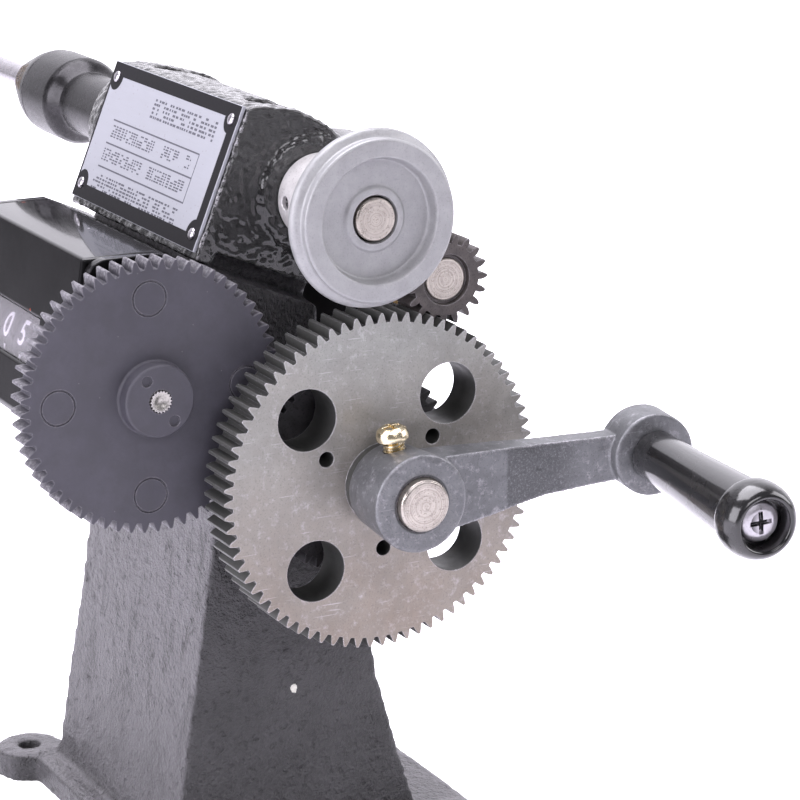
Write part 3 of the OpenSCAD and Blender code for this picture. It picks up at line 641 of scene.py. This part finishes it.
def makeLacquer():
    material, tree, sockets = newMaterial(
        "blackLacquer", Coat_Weight=1.0, Coat_Roughness=0.12, Specular_IOR_Level=0.3
    )
    fine = useGroup(tree, grain, Scale=260.0, Blotches=60.0)
    settled = useGroup(tree, speckle, Scale=900.0, Share=0.006, Size=0.14)["Mask"]
    paint = mixColour(tree, fine["Value"], shade(0.006), shade(0.010))
    feed(tree, sockets["Base Color"], mixColour(tree, settled, paint, shade(0.3)))
    sheenFrom(tree, sockets, fine["Value"], 0.22, 0.30)
    bumpFrom(tree, sockets, fine["Height"], 0.06, 0.0008)
    return material


def makeClear():
    material, tree, sockets = newMaterial("clearPlastic", Roughness=0.06, Transmission_Weight=1.0, IOR=1.46)
    fine = useGroup(tree, grain, Scale=900.0, Blotches=120.0)
    feed(tree, sockets["Base Color"], mixColour(tree, fine["Value"], shade(0.9), shade(0.98)))
    bumpFrom(tree, sockets, fine["Height"], 0.02, 0.0002)
    return material


def makePlate():
    material, tree, sockets = newMaterial("brushedPlate", Metallic=0.35)
    strokes = noiseAt(tree, 1.0, 3.0, 0.6, mappedPoint(tree, (160.0, 2600.0, 2600.0)))
    spots = useGroup(tree, speckle, Scale=1300.0, Share=0.10, Size=0.25)["Mask"]
    base = mixColour(tree, strokes, (0.33, 0.335, 0.37, 1), (0.41, 0.415, 0.46, 1))
    feed(tree, sockets["Base Color"], mixColour(tree, spots, base, shade(0.30)))
    feed(tree, sockets["Roughness"], stretch(tree, strokes, 0.3, 0.7, 0.42, 0.55))
    bumpFrom(tree, sockets, strokes, 0.05, 0.0001)
    return material


def makeInk(name, colour, roughness):
    material, tree, sockets = newMaterial(name, Specular_IOR_Level=0.1)
    fine = useGroup(tree, grain, Scale=3000.0, Blotches=900.0)
    lighter = tuple(min(1.0, channel * 1.35 + 0.004) for channel in colour[:3]) + (1,)
    feed(tree, sockets["Base Color"], mixColour(tree, fine["Value"], colour, lighter))
    sheenFrom(tree, sockets, fine["Value"], roughness * 0.85, roughness * 1.15)
    bumpFrom(tree, sockets, fine["Height"], 0.05, 0.0001)
    return material


shaft = ((0.36, 0.325, 0.29, 1), (0.54, 0.495, 0.45, 1), (0.9, 0.86, 0.84, 1))
shaftLook = {"metal": 0.8, "speckles": 0.5, "bump": 0.3}
screwTop = gripCentre + gripAxis * ((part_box("handle_screw")[1].x - gripCentre.x) / gripAxis.x)

# each metal has its dark tone, its light tone, the tone of rubbed edges, and what differs from steelLook
finish = {
    "black_casting": makeCastPaint(),
    "wrinkle": makeWrinklePaint(),
    "black_sheet": makeGlossPaint("sheetPaint", 0.3, False),
    "smooth": makeGlossPaint("housingPaint", 0.14, True),
    "black_enamel": makeGlossPaint("chuckEnamel", 0.14, False),
    "black_lacquer": makeLacquer(),
    "plate": makePlate(),
    "window": makeClear(),
    "white_plastic": makePlastic("whitePlastic", (0.7, 0.68, 0.6, 1), shade(0.5), 0.4),
    "black_plastic": makePlastic(
        "blackPlastic", (0.043, 0.041, 0.052, 1), shade(0.26), 0.6, rootRadius=0.0290
    ),
    "wheel_plastic": makePlastic("wheelPlastic", shade(0.02), shade(0.08), 0.3),
    "turned_steel": makeSteel("turnedSteel", *shaft, axis=crankAxis, **shaftLook),
    "spindle_end": makeSteel("spindleEnd", *shaft, axis=spindleAxis, **shaftLook),
    "idler_end": makeSteel("idlerEnd", *shaft, axis=idlerAxis, **shaftLook),
    "serrated_end": makeSteel(
        "serratedEnd", (0.26, 0.25, 0.235, 1), (0.48, 0.46, 0.43, 1), shade(0.7), metal=0.8
    ),
    "collar": makeSteel(
        "collarSteel", (0.60, 0.58, 0.58, 1), (0.74, 0.72, 0.72, 1), shade(0.9),
        roughness=0.35, metal=0.4, speckles=0.3,
    ),
    "screw_steel": makeSteel("screwSteel", shade(0.40), shade(0.6), shade(0.8), speckles=0.2),
    "handle_screw": makeSteel(
        "handleScrewSteel", shade(0.45), shade(0.62), shade(0.8),
        roughness=0.34, speckles=0.2, metal=0.8, recess=(screwTop.x - 0.0003, screwTop, 0.0024),
    ),
    "dark_screw": makeSteel("darkScrew", shade(0.05), shade(0.09), shade(0.3), roughness=0.4),
    "brass_screw": makeSteel(
        "brassScrew", (0.64, 0.52, 0.32, 1), (0.86, 0.77, 0.56, 1), (1.0, 0.93, 0.76, 1),
        roughness=0.22, speckles=0.15,
    ),
    "bronze": makeSteel(
        "bronze", (0.30, 0.19, 0.08, 1), (0.48, 0.32, 0.14, 1), (0.7, 0.5, 0.25, 1), roughness=0.36
    ),
    "gear_steel": makeSteel(
        "gearSteel", (0.285, 0.288, 0.272, 1), (0.345, 0.348, 0.330, 1), shade(0.72),
        roughness=0.44, metal=0.45, speckles=0.3, scratches=0.3, wear=0.9, clouds=0.28,
        flanks=0.3, below=(0.268, 0.226, 0.192, 1),
    ),
    "dark_gear": makeSteel("darkGear", shade(0.035), shade(0.07), shade(0.2), roughness=0.5, metal=0.4),
    "brown_gear": makeSteel(
        "brownGear", (0.050, 0.044, 0.043, 1), (0.105, 0.092, 0.088, 1), shade(0.36),
        roughness=0.42, metal=0.5,
    ),
    "phosphated": makeSteel(
        "phosphated", (0.125, 0.128, 0.135, 1), (0.180, 0.183, 0.192, 1), shade(0.62),
        roughness=0.40, metal=0.45, speckles=0.35, scratches=0.2, wear=1.0, wearRadius=0.0008,
        clouds=0.35, band=(0.0225, 0.0360), crevice=(0.0060, 0.0066),
    ),
    "die_cast": makeSteel(
        "dieCast", (0.285, 0.285, 0.292, 1), (0.345, 0.345, 0.352, 1), shade(0.52),
        roughness=0.42, metal=0.3, speckles=0.15, wear=0.9, wearRadius=0.0005, clouds=0.12,
    ),
    "blackened_steel": makeSteel(
        "blackenedSteel", shade(0.022), shade(0.045), shade(0.3), roughness=0.26, metal=0.7
    ),
    "rod_steel": makeSteel("rodSteel", shade(0.42), shade(0.58), shade(0.7), roughness=0.24),
}
inkWhite = makeInk("inkWhite", (0.85, 0.86, 0.88, 1), 0.4)
inkBlack = makeInk("inkBlack", (0.007, 0.0065, 0.008, 1), 0.4)
inkGrey = makeInk("inkGrey", (0.085, 0.085, 0.10, 1), 0.5)
print("stage: materials")


sharpAngle = math.radians(28)  # edges above this are rounded


def mergedCopy(node):  # the CAD solid as one clean mesh
    shape = bmesh.new()
    shape.from_mesh(cadNodes[node].data)
    bmesh.ops.remove_doubles(shape, verts=shape.verts, dist=0.001 * mm)
    bmesh.ops.dissolve_limit(
        shape, angle_limit=math.radians(0.5), verts=shape.verts[:], edges=shape.edges[:]
    )
    bmesh.ops.dissolve_degenerate(shape, dist=0.001 * mm, edges=shape.edges[:])
    return shape


def addPiece(name, shape, node, material, replace=True, crease=40.0):
    bmesh.ops.recalc_face_normals(shape, faces=shape.faces[:])
    mesh = bpy.data.meshes.new(name)
    shape.to_mesh(mesh)
    shape.free()
    mesh.shade_smooth()
    mesh.set_sharp_from_angle(angle=math.radians(crease))
    mesh.materials.append(material)
    piece = bpy.data.objects.new(name, mesh)
    scene.collection.objects.link(piece)
    if replace:
        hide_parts(node)
    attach(piece, bodyOf[node])
    return piece


def pieceName(node):
    words = node.split("_")
    return words[0] + "".join(word.capitalize() for word in words[1:])


def sharpEdges(shape):
    return [e for e in shape.edges if e.is_manifold and e.calc_face_angle(0.0) > sharpAngle]


def softPiece(node, width, segments, material):
    shape = mergedCopy(node)
    if width > 0:
        bmesh.ops.bevel(
            shape, geom=sharpEdges(shape), offset=width * mm, offset_type="OFFSET", affect="EDGES",
            segments=segments, profile=0.5, material=-1, clamp_overlap=False, loop_slide=True,
        )
    piece = addPiece(pieceName(node), shape, node, material)
    piece.modifiers.new("faceNormals", "WEIGHTED_NORMAL").keep_sharp = True


def finishedShape(holder):  # the mesh after its modifiers, and the helper object is gone
    ready = bpy.data.meshes.new_from_object(holder.evaluated_get(bpy.context.evaluated_depsgraph_get()))
    bpy.data.objects.remove(holder)
    shape = bmesh.new()
    shape.from_mesh(ready)
    return shape


def castPiece(node, settings, material):  # a casting's uneven skin
    shape = mergedCopy(node)
    raw = bpy.data.meshes.new(node + "Raw")
    shape.to_mesh(raw)
    shape.free()
    holder = bpy.data.objects.new(node + "Raw", raw)
    scene.collection.objects.link(holder)
    remesh = holder.modifiers.new("remesh", "REMESH")
    remesh.mode = "VOXEL"
    remesh.voxel_size = settings["voxelMm"] * mm
    soften = holder.modifiers.new("soften", "SMOOTH")
    soften.factor = 0.5
    soften.iterations = settings["softenPasses"]
    shape = finishedShape(holder)
    shape.normal_update()
    dentSize, dentDepth, dentLevel = settings["dents"]
    shifts = []
    for vert in shape.verts:
        height = 0.0
        for size, depth in settings["lumps"]:
            height += noise.noise(vert.co / (size * mm) + Vector((size, 3, 1))) * depth
        dent = noise.noise(vert.co / (dentSize * mm) + Vector((4, 9, 2)))
        height -= max(0.0, dent - dentLevel) * dentDepth
        shifts.append(vert.normal * height * mm)
    for vert, shift in zip(shape.verts, shifts):
        vert.co += shift
    addPiece(pieceName(node), shape, node, material, crease=180.0)


# voxel in mm, smoothing passes, lumps as (size, depth) in mm, dents as (size, depth, level)
headCasting = {
    "voxelMm": 0.55, "softenPasses": 3,
    "lumps": ((7.0, 0.10), (3.0, 0.12), (1.3, 0.32)), "dents": (2.2, 0.3, 0.4),
}
castPiece("head_casting", headCasting, finish["wrinkle"])
standCasting = {
    "voxelMm": 0.95, "softenPasses": 3,
    "lumps": ((24.0, 0.16), (5.5, 0.07), (2.3, 0.14)), "dents": (2.4, 1.1, 0.37),
}
castPiece("stand", standCasting, finish["black_casting"])
crankArm = {
    "voxelMm": 0.32, "softenPasses": 2,
    "lumps": ((9.0, 0.07), (1.6, 0.02)), "dents": (3.0, 0.5, 0.42),
}
castPiece("crank_arm", crankArm, finish["phosphated"])
print("stage: castings")

# bevel width in mm and number of segments for the plainer pieces
softened = {
    "gear_guard": (0.5, 3), "guard_screws": (0.1, 2), "head_bolts": (0.2, 2),
    "nameplate": (0.12, 2), "nameplate_rivets": (0.15, 3),
    "counter_housing": (1.0, 4), "counter_cap_right": (0.4, 3), "counter_cap_left": (0.4, 3),
    "counter_window": (0.1, 1), "cap_screws": (0.12, 2),
    "counter_gear": (0.1, 1),
    "crank_shaft": (0.35, 2), "drive_gear": (0.1, 1), "counter_drive_gear": (0.1, 1),
    "crank_collar": (0.15, 2), "handle_grip": (0.0, 2),
    "handle_screw": (0.1, 2), "idler_shaft": (0.12, 2), "idler_pinion": (0.1, 1),
    "spindle": (0.12, 2), "spindle_collar": (0.2, 2), "pulley": (0.0, 2),
    "chuck_body": (0.2, 2), "chuck_nose": (0.2, 2), "mandrel": (0.1, 2),
    "inner_cone": (0.2, 2), "outer_cone": (0.2, 2), "mandrel_nut": (0.5, 3),
    "reset_knob": (0.2, 2), "units_wheel": (0.15, 2), "tens_wheel": (0.15, 2),
    "hundreds_wheel": (0.15, 2), "thousands_wheel": (0.15, 2),
}
otherFinish = {
    "counter_housing": "smooth", "counter_cap_right": "smooth", "counter_cap_left": "smooth",
    "spindle": "spindle_end", "idler_shaft": "idler_end", "spindle_collar": "collar",
    "handle_screw": "handle_screw",
}
for node, (width, segments) in softened.items():
    softPiece(node, width, segments, finish[otherFinish.get(node, slotOf[node])])


def closeHoles(shape):
    bmesh.ops.holes_fill(shape, edges=[e for e in shape.edges if e.is_boundary], sides=0)


def cutEnd(shape, place, direction):  # takes the end off past a plane and closes the cut
    every = shape.verts[:] + shape.edges[:] + shape.faces[:]
    bmesh.ops.bisect_plane(
        shape, geom=every, dist=0.0001 * mm, plane_co=place, plane_no=direction, clear_outer=True
    )
    closeHoles(shape)


# the counter shaft ends in a short serrated stub, lengths from the large gear's face
serratedStub = {
    "fromMm": -11.0,
    "toMm": -9.9,
    "tipMm": 2.6,
    "rootMm": 2.15,
    "teeth": 20,
    "rimMm": 0.9,
    "dimpleRimMm": 0.35,
    "dimpleMm": 0.25,
}


def makeCounterShaft():
    stub = serratedStub
    shape = mergedCopy("counter_shaft")
    start = crankAxis.x + stub["fromMm"] * mm
    cutEnd(shape, (start, 0, 0), (1, 0, 0))
    seat = Matrix.Translation((start, counterAxis.y, counterAxis.z)) @ Matrix.Rotation(math.pi / 2, 4, "Y")
    ring = bmesh.ops.create_circle(
        shape, cap_ends=True, segments=stub["teeth"] * 2, radius=stub["tipMm"] * mm
    )["verts"]
    for vert in ring[1::2]:
        vert.co *= stub["rootMm"] / stub["tipMm"]
    bmesh.ops.transform(shape, matrix=seat, verts=ring)
    lid = bmesh.ops.extrude_face_region(shape, geom=[ring[0].link_faces[0]])["geom"]
    rim = [v for v in lid if isinstance(v, bmesh.types.BMVert)]
    top = [f for f in lid if isinstance(f, bmesh.types.BMFace)]
    bmesh.ops.translate(shape, vec=((stub["toMm"] - stub["fromMm"]) * mm, 0, 0), verts=rim)
    bmesh.ops.inset_region(shape, faces=top, thickness=stub["rimMm"] * mm)
    bmesh.ops.inset_region(
        shape, faces=top, thickness=stub["dimpleRimMm"] * mm, depth=-stub["dimpleMm"] * mm
    )
    addPiece("counterShaft", shape, "counter_shaft", finish["serrated_end"])


makeCounterShaft()

# the clamp screw in its own axes: its head stands on z = 0, sizes in mm
clampScrew = {
    "leanDeg": 9,
    "place": (9.0, 0.0, 12.9),
    "majorR": 2.5,
    "minorR": 2.0,
    "length": 6.8,
    "pitch": 0.8,
    "edge": 0.12,
    "stepsPerTurn": 28,
}


def addThread(shape, length, pitch, major, minor):  # a wedge wound round the core
    low = -length
    corners = [
        shape.verts.new((minor * 0.96, 0, low + pitch * 0.08)),
        shape.verts.new((major, 0, low + pitch * 0.5)),
        shape.verts.new((minor * 0.96, 0, low + pitch * 0.92)),
    ]
    wedge = shape.faces.new(corners)
    turns = int((length - pitch) / pitch)
    steps = clampScrew["stepsPerTurn"]
    bmesh.ops.spin(
        shape, geom=corners + wedge.edges[:] + [wedge], cent=(0, 0, 0), axis=(0, 0, 1),
        dvec=(0, 0, pitch / steps), angle=math.tau * turns, steps=steps * turns,
    )


def makeClampScrew():
    length, pitch, major, minor = (clampScrew[key] * mm for key in ("length", "pitch", "majorR", "minorR"))
    lean = Matrix.Rotation(math.radians(clampScrew["leanDeg"]), 4, "X")
    seat = Matrix.Translation(crankAxis) @ lean @ Matrix.Translation(Vector(clampScrew["place"]) * mm)
    shape = mergedCopy("clamp_screw")
    bmesh.ops.transform(shape, matrix=seat.inverted(), verts=shape.verts[:])
    cutEnd(shape, (0, 0, 0), (0, 0, -1))
    bmesh.ops.bevel(
        shape, geom=sharpEdges(shape), offset=clampScrew["edge"] * mm, offset_type="OFFSET",
        affect="EDGES", segments=2, profile=0.5, material=-1,
    )
    bmesh.ops.create_cone(
        shape, cap_ends=True, segments=32, radius1=minor * 0.95, radius2=minor * 1.02, depth=length,
        matrix=Matrix.Translation((0, 0, -length / 2)),
    )
    addThread(shape, length, pitch, major, minor)
    closeHoles(shape)
    bmesh.ops.transform(shape, matrix=seat, verts=shape.verts[:])
    addPiece("clampScrew", shape, "clamp_screw", finish["brass_screw"], crease=32.0)


makeClampScrew()

# print on the nameplate, in mm from its upper left corner
platePrint = {
    "height": 34,
    "tiltDeg": 22,
    "thick": 0.03,
    "outerEdge": 0.15,
    "top": 3.3,
    "bottom": 3.6,
    "left": 0.9,
    "right": 3.6,
    "bareEdge": 0.3,
    "notchR": 3.3,
    "rivetFromSide": 3.4,
    "rivetFromEnds": 3.6,
    "lineThick": 0.38,
    "sideLineThick": 0.25,
    "lines": (13.3, 19.0, 24.8),
    "lineEnds": (9.4, 59.5),
    # rows of plain marks: from, to, height of the middle, height of the marks
    "rows": (
        (28.0, 63.5, 7.6, 4.6), (10.5, 36.0, 16.1, 2.9), (40.5, 49.5, 16.1, 2.9), (53.5, 56.5, 16.1, 2.9),
        (9.6, 32.5, 21.9, 2.9), (36.5, 57.5, 21.9, 2.9), (9.0, 59.0, 28.6, 3.7),
    ),
    # each mark is a stack of strokes, whose levels and thickness are shares of its height
    "levels": (-0.5, -0.28, -0.06, 0.16, 0.38),
    "strokeThick": 0.12,
    "seed": 11,
}


def platePlace():  # the plate's face: x to the right, z down from its upper left corner
    low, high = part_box("nameplate")
    tilt = math.radians(platePrint["tiltDeg"])
    corner = (low[0], low[1] + platePrint["height"] * mm * math.sin(tilt), high[2])
    return Matrix.Translation(corner) @ Matrix.Rotation(-tilt, 4, "X"), (high[0] - low[0]) / mm


def addBar(shape, seat, left, right, top, bottom):
    size = ((right - left) * mm, platePrint["thick"] * 2 * mm, (bottom - top) * mm)
    middle = Vector(((left + right) / 2, 0, -(top + bottom) / 2)) * mm
    bar = bmesh.ops.create_cube(shape, size=1.0)["verts"]
    bmesh.ops.scale(shape, vec=size, verts=bar)
    bmesh.ops.transform(shape, matrix=seat @ Matrix.Translation(middle), verts=bar)


def makePlateBorder(seat, width):
    given, height, edge = platePrint, platePrint["height"], platePrint["outerEdge"]
    border = bmesh.new()
    farSide = width - given["bareEdge"]
    innerBottom = height - given["bottom"]
    addBar(border, seat, edge, farSide, edge, given["top"])
    addBar(border, seat, edge, farSide, innerBottom, height - edge)
    addBar(border, seat, edge, given["left"], given["top"], innerBottom)
    addBar(border, seat, width - given["right"], farSide, given["top"], innerBottom)
    turned = Matrix.Rotation(math.pi / 2, 4, "X")
    radius = given["notchR"] * mm
    for x in (given["rivetFromSide"], width - given["rivetFromSide"]):
        for z in (given["rivetFromEnds"], height - given["rivetFromEnds"]):
            bmesh.ops.create_cone(
                border, cap_ends=True, segments=40, radius1=radius, radius2=radius,
                depth=given["thick"] * 2.1 * mm,
                matrix=seat @ Matrix.Translation((x * mm, 0, -z * mm)) @ turned,
            )
    addPiece("nameplateBorder", border, "nameplate", inkBlack, replace=False)


def makePlateMarks(seat):
    given = platePrint
    table = bmesh.new()
    left, right = given["lineEnds"]
    for z in given["lines"]:
        addBar(table, seat, left, right, z, z + given["lineThick"])
    lowest = given["lines"][-1] + given["lineThick"]
    addBar(table, seat, right, right + given["sideLineThick"], given["lines"][0], lowest)
    draws = random.Random(given["seed"])
    for left, right, middle, tall in given["rows"]:
        x = left
        while x < right - 0.5:
            wide = min(draws.uniform(0.8, 2.0), right - x)
            for level in given["levels"]:
                if draws.random() < 0.8:
                    start = x + draws.uniform(0.0, 0.4) * wide
                    top = middle + level * tall
                    addBar(table, seat, start, x + wide, top, top + tall * given["strokeThick"])
            x += wide + draws.uniform(0.15, 0.45)
    addPiece("nameplateMarks", table, "nameplate", inkGrey, replace=False)


plateSeat, plateWidth = platePlace()
makePlateBorder(plateSeat, plateWidth)
makePlateMarks(plateSeat)

# numerals round the counter wheels: the first one stands behind the window
wheelNumerals = {
    "heightMm": 6.2,
    "fontShare": 1.38,  # size of the font over the height of its figures
    "boldMm": 0.12,
    "radiusMm": 12.44,
    "windowDeg": 157.0,
    "stripMm": 0.5,
    "shown": {"units_wheel": 5, "tens_wheel": 5, "hundreds_wheel": 0, "thousands_wheel": 0},
}


def numeralShape(number):  # flat, and cut in strips so that it can bend round the wheel
    curve = bpy.data.curves.new("numeral", "FONT")
    curve.body = str(number)
    curve.align_x = "CENTER"
    curve.align_y = "CENTER"
    curve.size = wheelNumerals["heightMm"] * mm * wheelNumerals["fontShare"]
    curve.offset = wheelNumerals["boldMm"] * mm
    curve.resolution_u = 4
    holder = bpy.data.objects.new("numeral", curve)
    scene.collection.objects.link(holder)
    shape = finishedShape(holder)
    half = int(wheelNumerals["heightMm"] / 2 / wheelNumerals["stripMm"]) + 1
    for step in range(-half, half + 1):
        every = shape.verts[:] + shape.edges[:] + shape.faces[:]
        level = step * wheelNumerals["stripMm"] * mm
        bmesh.ops.bisect_plane(
            shape, geom=every, dist=0.001 * mm, plane_co=(0, level, 0), plane_no=(0, 1, 0)
        )
    flat = bpy.data.meshes.new("numeralFlat")
    shape.to_mesh(flat)
    shape.free()
    return flat


def makeNumerals(node, flats):
    low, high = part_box(node)
    middle = (low[0] + high[0]) / 2
    radius = wheelNumerals["radiusMm"] * mm
    stepDeg = 360 / len(flats)
    ring = bmesh.new()
    for number, flat in enumerate(flats):
        known = set(ring.verts)
        ring.from_mesh(flat)
        turn = math.radians(wheelNumerals["windowDeg"] + (number - wheelNumerals["shown"][node]) * stepDeg)
        for vert in [v for v in ring.verts if v not in known]:
            angle = turn - vert.co.y / radius
            vert.co = (
                middle + vert.co.x,
                counterAxis.y + radius * math.cos(angle),
                counterAxis.z + radius * math.sin(angle),
            )
    mesh = bpy.data.meshes.new(pieceName(node) + "Numerals")
    ring.to_mesh(mesh)
    ring.free()
    mesh.materials.append(inkWhite)
    piece = bpy.data.objects.new(pieceName(node) + "Numerals", mesh)
    scene.collection.objects.link(piece)
    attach(piece, bodyOf[node])


flats = [numeralShape(number) for number in range(10)]
for node in wheelNumerals["shown"]:
    makeNumerals(node, flats)
print("stage: softened pieces")


for node, thing in cadNodes.items():  # the inner pieces keep their CAD shape
    if not thing.hide_render:
        thing.data.materials.clear()
        thing.data.materials.append(finish[slotOf[node]])


def makeWorld():  # white to the camera, dim to the piece except towards the back
    world = bpy.data.worlds.new("studio")
    world.use_nodes = True
    tree = world.node_tree
    tree.nodes.clear()
    white = addNode(tree, "ShaderNodeBackground")
    white.inputs["Strength"].default_value = studio["whiteWorld"]
    white.inputs["Color"].default_value = (1, 1, 1, 1)
    dim = addNode(tree, "ShaderNodeBackground")
    dim.inputs["Color"].default_value = studio["tint"]
    toBack = addNode(tree, "ShaderNodeVectorMath", operation="DOT_PRODUCT")
    feed(tree, toBack.inputs[0], addNode(tree, "ShaderNodeTexCoord").outputs["Generated"])
    toBack.inputs[1].default_value = Vector(studio["toBack"]).normalized()
    glow = stretch(tree, toBack.outputs["Value"], 0.25, 0.85, studio["dimWorld"], studio["backGlow"])
    feed(tree, dim.inputs["Strength"], glow)
    choice = addNode(tree, "ShaderNodeMixShader")
    feed(tree, choice.inputs[0], addNode(tree, "ShaderNodeLightPath").outputs["Is Camera Ray"])
    feed(tree, choice.inputs[1], dim.outputs[0])
    feed(tree, choice.inputs[2], white.outputs[0])
    feed(tree, addNode(tree, "ShaderNodeOutputWorld").inputs[0], choice.outputs[0])
    scene.world = world


def makeFloor():
    shape = bmesh.new()
    bmesh.ops.create_grid(shape, x_segments=1, y_segments=1, size=studio["floorHalfWidth"])
    mesh = bpy.data.meshes.new("floor")
    shape.to_mesh(mesh)
    shape.free()
    material, tree, sockets = newMaterial(
        "floorPaper", Base_Color=studio["floorColour"], Roughness=0.9, Emission_Color=(1, 1, 1, 1)
    )
    seen = addNode(tree, "ShaderNodeLightPath").outputs["Is Camera Ray"]
    glow = stretch(tree, seen, 0.0, 1.0, studio["floorBounce"], studio["floorGlow"])
    feed(tree, sockets["Emission Strength"], glow)
    mesh.materials.append(material)
    floor = bpy.data.objects.new("floor", mesh)
    scene.collection.objects.link(floor)


makeWorld()
makeFloor()
scene.view_settings.view_transform = "Standard"
print("stage: studio")
